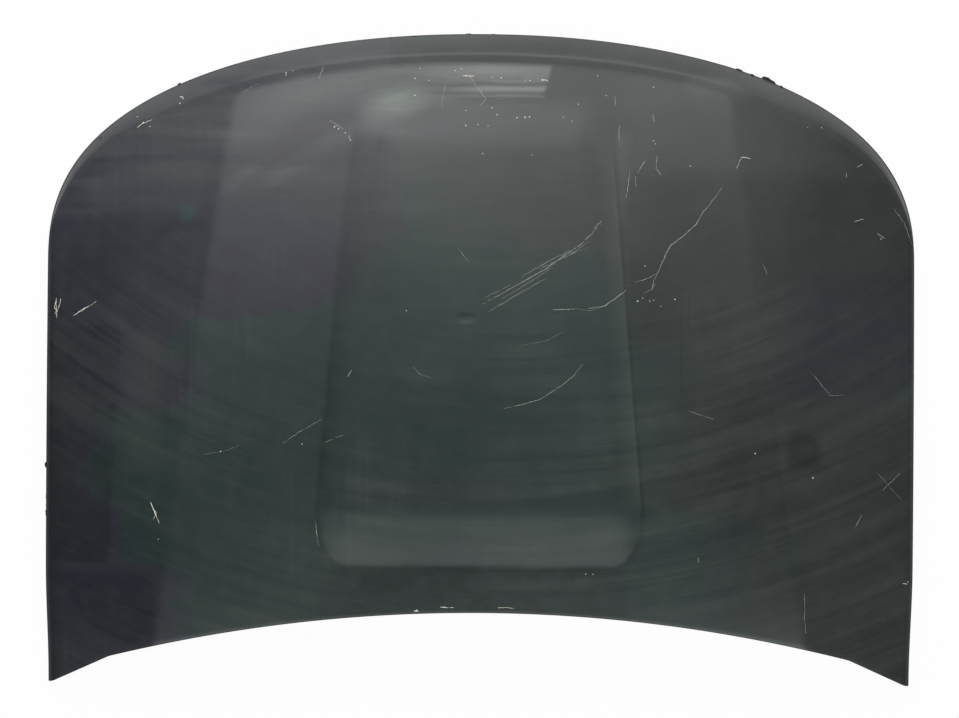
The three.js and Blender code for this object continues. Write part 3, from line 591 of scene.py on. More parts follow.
# %% Satin paint: the wipe patterns
WIPE_CENTRE = (0.05, 1.05, 0.0)
ARC_SCALE = (1000 / 420, 1000 / 26, 1.0)
SLANT_SCALE = (1000 / 300, 1000 / 38, 1.0)
SLANT_TURN = math.radians(-32)
HAIR_SCALE = (1.6, 5.0, 1.0)
UPRIGHT_SCALE = (1000 / 11, 1000 / 330, 1.0)
WIPE = {"Scale": 1.0, "Roughness": 0.55}
from_centre = add(tree, "VectorMath", {0: place, 1: WIPE_CENTRE}, operation="SUBTRACT")
centre_x = add(tree, "SeparateXYZ", {0: from_centre}, "X")
centre_y = add(tree, "SeparateXYZ", {0: from_centre}, "Y")
towards = add(tree, "Math", {0: centre_y, 1: -1.0}, operation="MULTIPLY")
turn = add(tree, "Math", {0: centre_x, 1: towards}, operation="ARCTAN2")
distance = add(tree, "VectorMath", {0: from_centre}, "Value", operation="LENGTH")
arcs_at = add(tree, "CombineXYZ", {0: turn, 1: distance})
arcs_at = add(tree, "VectorMath", {0: arcs_at, 1: ARC_SCALE}, operation="MULTIPLY")
arcs = add(tree, "TexNoise", {"Vector": arcs_at, "Detail": 4.0, "Distortion": 0.35, **WIPE})
hairs_at = add(tree, "VectorMath", {0: arcs_at, 1: HAIR_SCALE}, operation="MULTIPLY")
hairs = add(tree, "TexNoise", {"Vector": hairs_at, "Scale": 1.0, "Detail": 3.0, "Distortion": 0.2})
slant_at = add(tree, "Mapping", {"Vector": place, "Rotation": (0, 0, SLANT_TURN), "Scale": SLANT_SCALE})
slants = add(tree, "TexNoise", {"Vector": slant_at, "Detail": 5.0, "Distortion": 0.6, **WIPE})
upright_at = add(tree, "VectorMath", {0: place, 1: UPRIGHT_SCALE}, operation="MULTIPLY")
uprights = add(tree, "TexNoise", {"Vector": upright_at, "Scale": 1.0, "Detail": 4.0, "Distortion": 0.3})

# %% [markdown]
# A mask says where each pattern shows: slants at the front left, arcs in patches and mostly behind the
# middle, straight wipes on the left. The film that they leave pales the paint and dulls it too; at the
# front left it is partly a painted reflection of the lamps.

# %% Satin paint: film and specks
clouds = add(tree, "TexNoise", {"Vector": place, "Scale": 1000 / 210, "Detail": 5.0, "Roughness": 0.5})
mottle = add(tree, "TexNoise", {"Vector": place, "Scale": 1000 / 30, "Detail": 5.0, "Roughness": 0.6})
grain = add(tree, "TexNoise", {"Vector": place, "Scale": 1000 / 2.0, "Detail": 2.0})
front = add(tree, "MapRange", {0: lengthways, 1: 0.12, 2: 0.46}, **SOFT_STEP)
leftwards = add(tree, "MapRange", {0: across, 1: 0.1, 2: -0.15}, **SOFT_STEP)
slant_film = add(tree, "MapRange", {0: slants, 1: 0.36, 2: 0.66})
front_left = add(tree, "Math", {0: front, 1: leftwards}, operation="MULTIPLY")
# the front-left film is partly dust and partly a painted reflection of the lamps
film = add(tree, "Math", {0: slant_film, 1: front_left}, operation="MULTIPLY")
arc_film = add(tree, "MapRange", {0: arcs, 1: 0.4, 2: 0.64, 4: 0.8})
cloud_film = add(tree, "MapRange", {0: clouds, 1: 0.35, 2: 0.7, 4: 0.4})
wiped = add(tree, "TexNoise", {"Vector": place, "Scale": 1000 / 260, "Detail": 3.0})
wiped = add(tree, "MapRange", {0: wiped, 1: 0.42, 2: 0.62, 3: 0.15})
wiped_span = add(tree, "MapRange", {0: lengthways, 1: 0.2, 2: 0.02, 3: 0.35})
for part in (wiped, wiped_span):
    arc_film = add(tree, "Math", {0: arc_film, 1: part}, operation="MULTIPLY")
mottled = add(tree, "MapRange", {0: mottle, 1: 0.45, 2: 0.75, 4: 0.35})
hairs = add(tree, "MapRange", {0: hairs, 1: 0.52, 2: 0.72, 4: 0.28})
upright_side = add(tree, "MapRange", {0: across, 1: 0.0, 2: -0.15, 4: 0.5})
uprights = add(tree, "MapRange", {0: uprights, 1: 0.5, 2: 0.75})
patchy = add(tree, "MapRange", {0: clouds, 1: 0.44, 2: 0.6})
for part in (upright_side, patchy):
    uprights = add(tree, "Math", {0: uprights, 1: part}, operation="MULTIPLY")
even_film = arc_film
for part in (cloud_film, mottled, hairs, uprights):
    even_film = add(tree, "Math", {0: even_film, 1: part}, operation="ADD")
specks = add(tree, "MapRange", {0: grain, 1: 0.66, 2: 0.74, 4: 0.09})
# pale share: dust specks and the front-left film, which is partly painted reflection
dust_and_painted_light = add(tree, "Math", {0: film, 1: 0.12, 2: specks}, operation="MULTIPLY_ADD")
dust_and_painted_light = add(tree, "Math", {0: even_film, 1: 0.065, 2: dust_and_painted_light}, operation="MULTIPLY_ADD")
# adds the painted light on the dome's right slope
dust_and_painted_light = add(tree, "Math", {0: dust_and_painted_light, 1: right_slope_light}, operation="ADD")
print("paint nodes for the film", len(tree.nodes))

# %% [markdown]
# Pale clouds near the front left are a painted reflection of the lamps' glow. Each cloud is an ellipse torn
# into wisps by the slanting wipe pattern: its middle and its half lengths in metres, its turn in degrees,
# and how far it pales the paint.

# %% Satin paint: painted glow clouds
GLOW_CLOUDS = [
    (-0.140, 0.449, 0.070, 0.034, 16, 0.5), (-0.232, 0.478, 0.150, 0.046, 12, 0.2),
    (-0.372, 0.420, 0.110, 0.050, 30, 0.16), (-0.300, 0.345, 0.110, 0.022, 27, 0.13),
    (-0.395, 0.330, 0.070, 0.018, 40, 0.1), (-0.085, 0.500, 0.110, 0.020, 0, 0.2),
    (-0.250, 0.385, 0.100, 0.018, 25, 0.12), (0.060, 0.478, 0.080, 0.026, 4, 0.1),
]
torn = add(tree, "MapRange", {0: slants, 1: 0.34, 2: 0.62, 3: 0.25, 4: 1.0})
for cloud_x, cloud_y, half_long, half_wide, turned, share in GLOW_CLOUDS:
    at = add(tree, "VectorMath", {0: warped, 1: (cloud_x, cloud_y, 0.0)}, operation="SUBTRACT")
    at = add(tree, "VectorRotate", {"Vector": at, "Angle": -math.radians(turned)}, rotation_type="Z_AXIS")
    at = add(tree, "VectorMath", {0: at, 1: (1 / half_long, 1 / half_wide, 0.0)}, operation="MULTIPLY")
    away = add(tree, "VectorMath", {0: at}, "Value", operation="LENGTH")
    # each cloud adds a painted reflection of the lamps' glow
    cloud = add(tree, "MapRange", {0: away, 1: 1.25, 2: 0.1, 4: share}, **SOFT_STEP)
    dust_and_painted_light = add(tree, "Math", {0: cloud, 1: torn, 2: dust_and_painted_light}, operation="MULTIPLY_ADD")
print("polish clouds", len(GLOW_CLOUDS))

# %% [markdown]
# Water has stood in the hollow behind the raised middle and dried there in dark patches. The skin also
# carries a shallow dent near its middle, no wider than a thumb.

# %% Satin paint: stains and the dent
STAIN = "#1b2120"
DUST_AND_GLOW_TINT = "#879188"
DENT = (-0.026, 0.070)
DENT_FLATTENED = 1.8
hollow_y = add(tree, "MapRange", {0: lengthways, 1: -0.345, 2: -0.375})
hollow_x = add(tree, "MapRange", {0: side_x, 1: 0.27, 2: 0.2})
hollow = add(tree, "Math", {0: hollow_x, 1: hollow_y}, operation="MULTIPLY")
pools = add(tree, "TexNoise", {"Vector": place, "Scale": 1000 / 45, "Detail": 6.0, "Roughness": 0.65})
pools = add(tree, "MapRange", {0: pools, 1: 0.47, 2: 0.55, 4: 0.5})
stain = add(tree, "Math", {0: pools, 1: hollow}, operation="MULTIPLY")
colour = add(tree, "Mix", {0: stain, 6: hue, 7: linear(STAIN)}, **OF_COLOURS)
# the pale colour carries dust and also painted light and painted reflection
colour = add(tree, "Mix", {0: dust_and_painted_light, 6: colour, 7: linear(DUST_AND_GLOW_TINT)}, **OF_COLOURS)
flat_place = add(tree, "VectorMath", {0: place, 1: (1.0, DENT_FLATTENED, 0.0)}, operation="MULTIPLY")
flat_dent = (DENT[0], DENT_FLATTENED * DENT[1], 0)
to_dent = add(tree, "VectorMath", {0: flat_place, 1: flat_dent}, "Value", operation="DISTANCE")
dent = add(tree, "MapRange", {0: to_dent, 1: 0.004, 2: 0.02}, **SOFT_STEP)
print("dent at", DENT)

# %% [markdown]
# Near the front edge one patch was polished by rubbing. Its top layer is clear and smooth, so it mirrors
# the lamps with crisp edges, while the satin round it only spreads their light. On the fold of the front
# band the gloss has been rubbed off, so only a faint line of light runs along it.

# %% Satin paint: gloss, orange peel and the shader
DARK_BARS_Y = (0.4805, 0.4655)
POLISHED = {"left": (-0.13, 0.03), "right": (0.136, 0.126), "rear": (0.43, 0.46), "front": (0.526, 0.519)}
slant_x = add(tree, "Math", {0: zone_y, 1: -0.3, 2: 0.156}, operation="MULTIPLY_ADD")
slant_x = add(tree, "Math", {0: slant_x, 1: zone_x}, operation="ADD")
polished = add(tree, "MapRange", {0: slants, 1: 0.3, 2: 0.55, 3: 0.55, 4: 1.0})
for axis, side in ((zone_x, "left"), (slant_x, "right"), (zone_y, "rear"), (lengthways, "front")):
    start, end = POLISHED[side]
    edge = add(tree, "MapRange", {0: axis, 1: start, 2: end}, **SOFT_STEP)
    polished = add(tree, "Math", {0: polished, 1: edge}, operation="MULTIPLY")
for bar_y in DARK_BARS_Y:
    bar = add(tree, "Math", {0: zone_y, 1: bar_y}, operation="SUBTRACT")
    bar = add(tree, "Math", {0: bar}, operation="ABSOLUTE")
    bar = add(tree, "MapRange", {0: bar, 1: 0.001, 2: 0.006, 3: 0.25, 4: 1.0})
    polished = add(tree, "Math", {0: polished, 1: bar}, operation="MULTIPLY")
ridge = add(tree, "NewGeometry", out="Pointiness")
ridge = add(tree, "MapRange", {0: ridge, 1: 0.502, 2: 0.512})
fold = add(tree, "MapRange", {0: lengthways, 1: 0.1, 2: 0.2})
fold = add(tree, "Math", {0: fold, 1: ridge}, operation="MULTIPLY")
coat = add(tree, "Math", {0: polished, 1: 0.9, 2: 0.08}, operation="MULTIPLY_ADD")
unfolded = add(tree, "Math", {0: 1.0, 1: fold}, operation="SUBTRACT")
coat = add(tree, "Math", {0: coat, 1: unfolded}, operation="MULTIPLY")
coat_dull = add(tree, "MapRange", {0: polished, 3: 0.2, 4: 0.06})
dull = add(tree, "Math", {0: film, 1: 0.2, 2: 0.3}, operation="MULTIPLY_ADD")
dull = add(tree, "Math", {0: even_film, 1: 0.06, 2: dull}, operation="MULTIPLY_ADD")
dull = add(tree, "Math", {0: fold, 1: 0.3, 2: dull}, operation="MULTIPLY_ADD")
peel = add(tree, "TexNoise", {"Vector": place, "Scale": 1000 / 4.0, "Detail": 2.0})
peel_bump = add(tree, "Bump", {"Height": peel, "Strength": 0.06, "Distance": 0.0004})
dent_bump = add(tree, "Bump", {"Height": dent, "Strength": 1.0, "Distance": 0.0006, "Normal": peel_bump})
satin = {"Base Color": colour, "Roughness": dull, "Normal": dent_bump, "IOR": 1.5}
gloss = {"Coat Weight": coat, "Coat Roughness": coat_dull}
shader = add(tree, "BsdfPrincipled", {**satin, **gloss})
add(tree, "OutputMaterial", {"Surface": shader})
give(skin, paint)
print("paint nodes", len(tree.nodes))

# %% [markdown]
# ## Finishes of the underside
# The inner panel is dipped in primer and only lightly coated, so it is flatter and duller than the skin.
# The fittings are zinc plated, with a faint crystal mottle, and the stops and seal are carbon-black rubber.


# %% Underside finishes
def simple_finish(name, hexes, size_mm, rough_range, metallic, speck_mm, bump_mm):
    """A mottled finish: three hex colours, a patch size, a roughness range and a fine bump."""
    material, tree = new_material(name)
    place = add(tree, "TexCoord", out="Object")
    patches = add(tree, "TexNoise", {"Vector": place, "Scale": 1000 / size_mm, "Detail": 5.0})
    specks = add(tree, "TexNoise", {"Vector": place, "Scale": 1000 / speck_mm, "Detail": 2.0})
    mottle = add(tree, "MapRange", {0: patches, 1: 0.35, 2: 0.65})
    spots = add(tree, "MapRange", {0: specks, 1: 0.6, 2: 0.72, 4: 0.35})
    colour = add(tree, "Mix", {0: mottle, 6: linear(hexes[0]), 7: linear(hexes[1])}, **OF_COLOURS)
    colour = add(tree, "Mix", {0: spots, 6: colour, 7: linear(hexes[2])}, **OF_COLOURS)
    rough = add(tree, "MapRange", {0: patches, 1: 0.3, 2: 0.7, 3: rough_range[0], 4: rough_range[1]})
    bump = add(tree, "Bump", {"Height": specks, "Strength": 0.25, "Distance": bump_mm * MM})
    surface = {"Base Color": colour, "Roughness": rough, "Normal": bump, "Metallic": metallic}
    shader = add(tree, "BsdfPrincipled", surface)
    add(tree, "OutputMaterial", {"Surface": shader})
    return material


primer = simple_finish("dipped_primer", ("#2b3031", "#343a3b", "#6a6c66"), 90, (0.5, 0.72), 0.0, 2.5, 0.15)
zinc = simple_finish("zinc_plate", ("#9c9e9a", "#b3b4ad", "#6f6a5e"), 12, (0.32, 0.5), 1.0, 0.8, 0.03)
rubber = simple_finish("epdm_rubber", ("#151617", "#1d1e1f", "#55554f"), 20, (0.75, 0.92), 0.0, 1.2, 0.1)
mastic = simple_finish("cured_mastic", ("#55534d", "#67655d", "#807d72"), 8, (0.7, 0.9), 0.0, 1.5, 0.3)
finishes = {"primer_paint": primer, "zinc_steel": zinc, "black_rubber": rubber, "mastic": mastic}
slots = {row["node"]: row["material_slot"] for row in frame["record"]["subparts"]}
for node_name, node_object in frame["nodes"].items():
    if slots[node_name] in finishes:
        give(node_object, finishes[slots[node_name]])
print("finishes", sorted(finishes))

# %% [markdown]
# ## The inner panel, rounded
# The frame's inner panel is faceted. A copy with its points joined takes smooth shading, with its
# pressed walls still crisp, and stands for the frame's node.

# %% Smooth copy of the inner panel
INNER_JOIN_DISTANCE = 0.00001
INNER_SMOOTH_DEGREES = 32
inner = frame["nodes"]["inner_panel"].copy()
inner.data = inner.data.copy()
inner.name = "pressed_inner"
inner.parent = None
bpy.context.collection.objects.link(inner)
make_active(inner)
bpy.ops.object.mode_set(mode="EDIT")
bpy.ops.mesh.select_all(action="SELECT")
bpy.ops.mesh.remove_doubles(threshold=INNER_JOIN_DISTANCE)
bpy.ops.object.mode_set(mode="OBJECT")
bpy.ops.object.shade_smooth_by_angle(angle=math.radians(INNER_SMOOTH_DEGREES))
give(inner, primer)
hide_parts("inner_panel")
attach(inner, "root")
print("inner faces", len(inner.data.polygons))

# %% [markdown]
# ## Scratches and chips
# Each scratch is a path drawn over the skin with a hair-thin round section, sunk so that only its top
# shows, as a line of bared primer and dust does. Paths are curves because a curve takes a width along
# its length; they are then turned to meshes. Their points are read from the photograph, in its pixels.

# %% Scratches in the photograph's pixels: (points, width in millimetres); chips: (x, y, size in millimetres)
LONG_SCRATCHES = [
    ([(480, 305), (512, 287), (545, 268), (580, 243), (592, 231), (600, 222)], 0.99),
    ([(519, 277), (545, 262), (570, 249)], 0.69),
    ([(487, 312), (518, 293), (550, 275)], 0.69),
    ([(724, 180), (713, 196), (700, 212), (694, 223), (681, 235), (668, 245), (660, 262), (652, 280),
      (648, 297)], 1.08),
    ([(656, 272), (645, 278), (633, 281)], 0.79),
    ([(734, 167), (737, 161), (739, 157)], 1.28),
    ([(552, 309), (563, 309), (575, 308)], 1.08),
    ([(586, 308), (603, 305), (613, 298), (622, 291), (627, 287)], 1.08),
    ([(582, 363), (572, 375), (560, 385), (540, 398), (520, 404), (502, 408)], 0.79),
    ([(352, 370), (350, 374), (348, 377)], 1.28),
    ([(325, 443), (335, 438), (345, 435)], 0.59),
    ([(280, 446), (302, 431), (325, 418)], 0.49),
    ([(317, 518), (318, 532), (320, 545)], 0.79),
    ([(468, 77), (475, 87), (484, 99), (480, 104), (475, 107)], 0.89),
    ([(444, 83), (441, 97), (440, 110)], 0.59),
    ([(328, 121), (334, 125), (340, 129), (343, 131)], 1.08),
    ([(347, 136), (348, 139), (349, 141)], 1.08),
    ([(617, 125), (617, 135), (617, 145)], 0.69),
    ([(628, 168), (626, 184), (624, 198)], 0.79),
    ([(633, 175), (634, 186)], 0.79),
    ([(643, 159), (639, 166), (636, 172)], 0.99),
    ([(655, 155), (654, 162), (654, 168), (660, 175)], 0.99),
    ([(855, 165), (861, 161)], 1.08),
    ([(845, 170), (845, 175)], 1.08),
    ([(853, 219), (862, 216)], 1.08),
    ([(876, 230), (884, 236)], 1.08),
    ([(804, 583), (805, 600), (805, 616), (806, 631)], 0.69),
    ([(698, 555), (698, 560)], 0.99),
    ([(875, 468), (890, 484), (905, 500)], 0.49),
    ([(862, 512), (858, 519), (855, 525)], 0.59),
    ([(810, 370), (820, 382), (830, 393), (843, 392)], 0.59),
    ([(685, 408), (700, 413), (715, 418)], 0.49),
    ([(457, 249), (464, 257), (470, 265)], 0.59),
    ([(322, 68), (319, 74), (317, 80)], 0.79),
    ([(284, 73), (284, 77)], 1.19),
    ([(613, 95), (613, 105)], 0.79),
    ([(536, 270), (560, 258), (585, 247)], 0.43),
    ([(500, 299), (530, 281), (552, 266)], 0.43),
    ([(483, 298), (497, 291), (510, 284)], 0.43),
    ([(556, 260), (572, 252), (588, 240)], 0.52),
    ([(575, 308), (590, 310), (600, 306)], 0.43),
    ([(641, 293), (650, 288), (655, 280)], 0.52),
    ([(592, 228), (596, 224), (600, 220)], 0.77),
    ([(240, 95), (250, 88), (258, 84)], 0.43),
    ([(520, 78), (535, 78), (548, 80)], 0.43),
    ([(412, 366), (420, 374), (432, 378)], 0.43),
    ([(520, 345), (545, 340), (565, 330)], 0.34),
    ([(205, 455), (225, 452), (240, 446)], 0.34),
    ([(880, 490), (892, 478), (900, 470)], 0.52),
    ([(760, 262), (764, 268), (765, 274)], 0.52),
    ([(893, 205), (904, 220), (911, 240)], 0.69),
]
CREAM_SCRATCHES = [
    ([(739, 155.5), (744, 156), (748, 157)], 1.1),
    ([(539, 81), (543, 79.5), (547, 81)], 0.9),
    ([(651, 111), (651, 116), (652, 121)], 0.5),
    ([(55, 300), (55, 310), (56, 320)], 1.03),
    ([(96, 303), (84, 311), (72, 318)], 1.03),
    ([(152, 503), (155, 510), (157, 516), (161, 524)], 1.61),
    ([(178, 98), (181, 98)], 1.61),
    ([(440, 606), (448, 606), (455, 606)], 1.49),
    ([(415, 610), (420, 610)], 1.61),
    ([(460, 76), (466, 76), (473, 76)], 1.38),
    ([(904, 581), (908, 581)], 1.84),
    ([(55, 303), (53, 309), (57, 314)], 1.5),
    ([(60, 300), (58, 308), (54, 316)], 1.0),
    ([(88, 308), (80, 312), (75, 317)], 0.9),
    ([(500, 606), (508, 606), (515, 607)], 1.0),
    ([(135, 129), (142, 124), (150, 121)], 0.9),
    ([(154, 509), (158, 514), (155, 520)], 1.0),
]
DARK_LINES = [
    ([(680, 280), (680, 330), (680, 380), (680, 420)], 1.3),
    ([(687, 285), (687, 308), (687, 330)], 0.9),
    ([(688, 367), (720, 355), (752, 342), (783, 330)], 1.0),
    ([(691, 385), (724, 374), (757, 363), (789, 352)], 1.0),
]
CHIPS = [
    (636, 300, 3.2), (641, 297, 2.4), (648, 300, 2.6), (652, 299, 2.2), (673, 298, 3.0), (659, 305, 2.2),
    (643, 265, 2.4), (413, 79, 3.2), (427, 81, 2), (453, 71, 2.4), (459, 69, 2), (490, 77.5, 2),
    (499, 78, 2.6), (523, 81, 2.2), (528, 80.5, 2.8), (540, 79.5, 3.2), (545, 80.5, 2.4), (413, 96, 3),
    (490, 108, 2.4), (495, 115, 2.8), (464, 111, 2.4), (464, 126, 3.2), (476, 125, 2.2), (486, 126, 2.2),
    (515, 118, 3), (523, 117.5, 3.6), (527.5, 117, 3.4), (481, 154, 2.4), (530, 155, 2), (576, 104, 2.4),
    (595, 75, 2), (570, 121, 2), (561, 117, 2.2), (418, 69, 2.2), (178, 105, 3.4), (181, 100, 3),
    (135, 118, 2.4), (141, 124, 3), (148, 128, 2.6), (604, 95, 2.2), (651, 86, 2.6), (651, 140, 2.4),
    (653, 143, 2.2), (688, 165, 2.4), (586, 572, 2.4), (593, 572, 2.2), (754, 451, 2.8), (812, 475, 3.4),
    (806, 125, 2), (820, 125, 2), (500, 606, 2.6), (333, 128, 3.6), (337, 130, 3.4), (344, 134, 3),
    (349, 141, 2.6), (284, 74, 2.8), (291, 72, 2.2), (418, 609, 3.2), (446, 606, 3), (468, 77, 2.8),
    (303, 444, 2.6), (222, 452, 2.2), (406, 311, 2.4), (160, 540, 2.2), (909, 579, 2.6), (880, 236, 2.4),
]


# %% Draw the paths onto the skin
NOISE_SEED = 11
PATH_STRAY = 0.7
PATH_SUNK = 0.25
PATH_LEAST_SHARE = 0.4
CHIP_SCALE = (1.0, 0.62, 0.22)
CHIP_SUNK = 0.1
CHIP_TURN_STEP = 0.7
BARED_ROUGHNESS = (0.6, 0.85)
noise.seed_set(NOISE_SEED)


def path_on_skin(points, width_mm, name):
    """A thin path through photograph points, half sunk in the skin, turned to a mesh."""
    deselect_all()
    bpy.ops.curve.primitive_nurbs_path_add(radius=1)
    curve = bpy.context.object
    curve.name = name
    data = curve.data
    data.splines.clear()
    spline = data.splines.new("POLY")
    dense = []
    for (ax, ay), (bx, by) in zip(points, points[1:]):
        steps = max(2, int(math.hypot(bx - ax, by - ay) / 2))
        dense += [(ax + (bx - ax) * k / steps, ay + (by - ay) * k / steps) for k in range(steps)]
    dense.append(points[-1])
    spline.points.add(len(dense) - 1)
    for k, (px, py) in enumerate(dense):
        stray = noise.noise_vector(Vector((px * 0.35, py * 0.35, width_mm)))
        x, y = from_photo(px + PATH_STRAY * stray.x, py + PATH_STRAY * stray.y)
        place = on_skin(x, y, above=-PATH_SUNK * width_mm)
        spline.points[k].co = (*place, 1)
        ends = math.sin(math.pi * (k + 0.5) / len(dense)) ** 0.5
        spline.points[k].radius = (0.35 + 0.65 * ends) * max(PATH_LEAST_SHARE, 1.0 + 0.8 * stray.z)
    data.bevel_depth = width_mm / 2 * MM
    data.bevel_resolution = 1
    data.use_fill_caps = True
    make_active(curve)
    bpy.ops.object.convert(target="MESH")
    return bpy.context.object


def chip_on_skin(px, py, size_mm, turn, name):
    """A small flattened disc, sunk a little into the skin."""
    x, y = from_photo(px, py)
    place = on_skin(x, y, above=-CHIP_SUNK)
    deselect_all()
    bpy.ops.mesh.primitive_uv_sphere_add(segments=10, ring_count=6, radius=size_mm / 2 * MM, location=place)
    chip = bpy.context.object
    chip.name = name
    chip.scale = CHIP_SCALE
    chip.rotation_euler = (0, 0, turn)
    bpy.ops.object.transform_apply(location=True, rotation=True, scale=True)
    return chip


def joined(pieces, name):
    deselect_all()
    for piece in pieces:
        piece.select_set(True)
    bpy.context.view_layer.objects.active = pieces[0]
    bpy.ops.object.join()
    whole = bpy.context.object
    whole.name = name
    bpy.ops.object.transform_apply(location=True, rotation=True, scale=True)
    bpy.ops.object.shade_smooth()
    return whole


def drawn(paths, name):
    """All the paths of a list, joined to one piece."""
    pieces = [path_on_skin(points, width, f"{name}_{k}") for k, (points, width) in enumerate(paths)]
    return joined(pieces, name)


bared_hexes = ("#a3a49c", "#c3c3ba", "#7a7c75")
cream_hexes = ("#ebe8cd", "#fbfaf0", "#c9c6ac")
bared = simple_finish("bared_primer", bared_hexes, 6, BARED_ROUGHNESS, 0.0, 1.0, 0.05)
cream = simple_finish("bared_cream_filler", cream_hexes, 5, BARED_ROUGHNESS, 0.0, 1.0, 0.05)
dark_rub = simple_finish("dark_rub", ("#1d2121", "#222727", "#343939"), 10, (0.45, 0.6), 0.0, 1.0, 0.02)
scratches = drawn(LONG_SCRATCHES, "scratches")
creams = drawn(CREAM_SCRATCHES, "cream_scratches")
lines = drawn(DARK_LINES, "rub_lines")
chips = [chip_on_skin(*chip, CHIP_TURN_STEP * k, f"chip_{k}") for k, chip in enumerate(CHIPS)]
chips = joined(chips, "paint_chips")
for piece, material in ((scratches, bared), (creams, cream), (chips, cream), (lines, dark_rub)):
    give(piece, material)
    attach(piece, "root")
print("scratch faces", len(scratches.data.polygons), "chip faces", len(chips.data.polygons))

# %% [markdown]
# ## Rubber lumps at the edge
# Bits of the seal under the hem have been squeezed out past the edge. Each is a small ball, stretched
# along the edge and dented with noise, tucked against the hem from below.

# %% Rubber lumps: photograph pixel, length, depth, turn in degrees
LUMPS = [
    (737.5, 68.6, 15, 8, -22), (750.2, 73.6, 9, 8, -26), (765.0, 77.8, 20, 13, -28),
    (770.5, 80.6, 14, 11, -34), (779.6, 84.8, 8, 8, -32), (466, 34.2, 13, 6, 0), (491, 34.2, 9, 5, 0),
    (46.0, 467, 9, 6, 90), (46.8, 498, 12, 4, 90), (46.8, 506, 12, 4, 90), (46.6, 515, 12, 4, 90),
    (909.5, 578, 6, 7, 90), (388, 38.6, 9, 4, 4), (412, 36.6, 13, 4, 4), (98, 140, 8, 5, 48),
    (176, 84.8, 8, 4, 28),
]
LUMP_HEIGHT = 5.0
LUMP_DROP = 2.4 * HEM_RADIUS
BROAD_DENTS, FINE_DENTS = (0.9, 260), (0.35, 900)


def rubber_lump(px, py, length_mm, depth_mm, turn, name):
    """A dented ball of rubber pressed against the hem from below."""
    x, y = from_photo(px, py)
    place = on_skin(x, y, above=-LUMP_DROP)
    deselect_all()
    bpy.ops.mesh.primitive_ico_sphere_add(subdivisions=4, radius=0.5 * MM, location=place)
    lump = bpy.context.object
    lump.name = name
    lump.scale = (length_mm, depth_mm, LUMP_HEIGHT)
    lump.rotation_euler = (0, 0, math.radians(turn))
    bpy.ops.object.transform_apply(location=False, rotation=True, scale=True)
    bpy.ops.object.transform_apply(location=True, rotation=False, scale=False)
    for vertex in lump.data.vertices:
        broad, fine = [d * MM * noise.noise_vector(vertex.co * k) for d, k in (BROAD_DENTS, FINE_DENTS)]
        vertex.co += broad + fine
    return lump


lumps = joined([rubber_lump(*lump, f"lump_{k}") for k, lump in enumerate(LUMPS)], "rubber_lumps")
give(lumps, rubber)
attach(lumps, "root")
print("lump faces", len(lumps.data.polygons))

# %% [markdown]
# ## Floor and background
# The bonnet lies on a plain pale floor. The background in the photograph is pure white, so the floor
# shows white to the camera apart from the shadow, and the world does the same past its edge.

# %% Floor and world
FLOOR_SIZE = 60
FLOOR_SHOWN_WHITE = 0.97
WORLD_STRENGTH = 0.214
deselect_all()
bpy.ops.mesh.primitive_plane_add(size=FLOOR_SIZE, location=(0, 0, 0))
floor = bpy.context.object
floor.name = "studio_floor"
floor_material, tree = new_material("pale_floor")
pale = add(tree, "BsdfDiffuse", {"Color": linear("#f2f2f0")})
white = add(tree, "Emission", {"Color": (1, 1, 1, 1), "Strength": 1.0})
to_camera = add(tree, "LightPath", out="Is Camera Ray")
shown = add(tree, "Math", {0: to_camera, 1: FLOOR_SHOWN_WHITE}, operation="MULTIPLY")
seen = add(tree, "MixShader", {0: shown, 1: pale, 2: white})
behind = add(tree, "NewGeometry", out="Backfacing")
clear = add(tree, "BsdfTransparent")
either = add(tree, "MixShader", {0: behind, 1: seen, 2: clear})
add(tree, "OutputMaterial", {"Surface": either})
give(floor, floor_material)

world = bpy.data.worlds.new("studio")
bpy.context.scene.world = world
world.use_nodes = True
tree = world.node_tree
tree.nodes.clear()
room = add(tree, "Background", {"Color": linear("#c9cdd0"), "Strength": WORLD_STRENGTH})
backdrop = add(tree, "Background", {"Color": (1, 1, 1, 1), "Strength": 1.0})
to_camera = add(tree, "LightPath", out="Is Camera Ray")
seen = add(tree, "MixShader", {0: to_camera, 1: room, 2: backdrop})
add(tree, "OutputWorld", {"Surface": seen})
print("floor", FLOOR_SIZE, "m; world strength", WORLD_STRENGTH)

# %% [markdown]
# ## Light
# The photograph's light comes from above the front edge: the front of the bonnet is bright and the rear
# half as bright. Softboxes stand where the skin mirrors them to a camera straight above. Three strips
# side by side with dark gaps, and a tall box behind them, light the front; a small one makes the glow at
# the left, and a high and an overhead one fill the middle. A low one lights the turned-down band, and one
# at the back the rear slope of the raised middle.

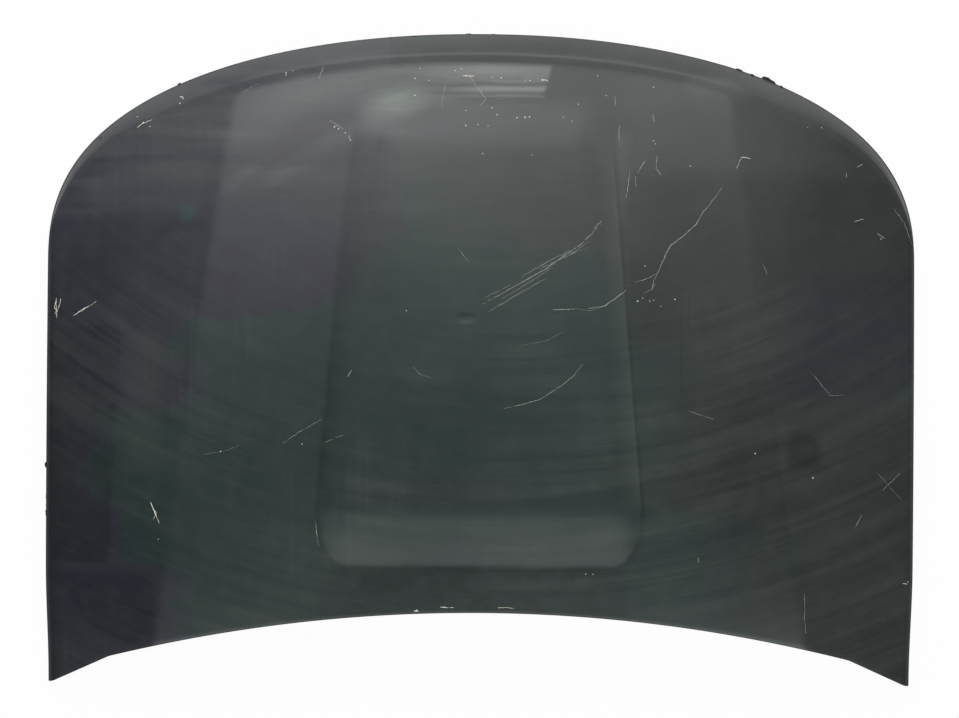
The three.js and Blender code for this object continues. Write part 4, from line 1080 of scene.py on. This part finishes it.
# %% Softboxes
SOFTBOXES = {
    # name: (place, aim, size, watts)
    "front_far": ((0, 2.3625, 4.2), (0, 0.4, 0.1), (6.0, 0.275), 17),
    "front_middle": ((0, 2.16, 4.2), (0, 0.4, 0.1), (6.0, 0.05), 3.1),
    "front_near": ((0, 1.97, 4.2), (0, 0.4, 0.1), (6.0, 0.24), 15),
    "front_tall": ((0, 4.1, 4.2), (0, 0.4, 0.1), (6.0, 1.5), 117),
    "front_high": ((0, 1.2, 5.0), (0, 0.2, 0.1), (6.0, 0.8), 14.5),
    "front_glow": ((-0.75, 2.35, 3.6), (-0.2, 0.45, 0.1), (1.0, 0.45), 13),
    "overhead": ((0, 0.3, 6.0), (0, 0, 0.1), (6.0, 1.4), 3.3),
    "band_low": ((0, 4.5, 1.3), (0, 0.5, 0.05), (5.0, 0.7), 95),
    "rear": ((0.2, -3.36, 5.0), (0, -0.3, 0.1), (6.0, 0.4), 105),
}
for name, (box_place, aim, size, watts) in SOFTBOXES.items():
    light = bpy.data.lights.new(name, "AREA")
    light.shape = "RECTANGLE"
    light.size, light.size_y = size
    light.energy = watts
    holder = bpy.data.objects.new(name, light)
    bpy.context.collection.objects.link(holder)
    holder.location = box_place
    towards = Vector(aim) - Vector(box_place)
    holder.rotation_euler = towards.to_track_quat("-Z", "Y").to_euler()
    holder.visible_camera = False
print("softboxes", len(SOFTBOXES))

# %% [markdown]
# ## Camera
# The photograph looks straight down onto the outer side, front edge at the top, and is turned by a third
# of a degree. A long lens far away keeps the outline free of perspective, and its field is the
# photograph's width in millimetres.

# %% Camera
CAMERA_HEIGHT = 16.0
CAMERA_TURN_DEGREES = 0.35
SENSOR = 36.0
PLANE_HEIGHT = 0.06
view_width = IMAGE_SIZE[0] * PHOTO_MM_PER_PIXEL * MM
centre_x, centre_y = from_photo((IMAGE_SIZE[0] - 1) / 2, (IMAGE_SIZE[1] - 1) / 2)
camera_data = bpy.data.cameras.new("camera")
camera_data.sensor_width = SENSOR
camera_data.lens = SENSOR * (CAMERA_HEIGHT - PLANE_HEIGHT) / view_width
camera_data.clip_end = 100
camera = bpy.data.objects.new("camera", camera_data)
bpy.context.collection.objects.link(camera)
camera.location = (centre_x * MM, centre_y * MM, CAMERA_HEIGHT)
camera.rotation_euler = (0, 0, math.radians(CAMERA_TURN_DEGREES))
bpy.context.scene.camera = camera
bpy.context.scene.view_settings.view_transform = "Standard"
print("lens", round(camera_data.lens, 1), "mm")
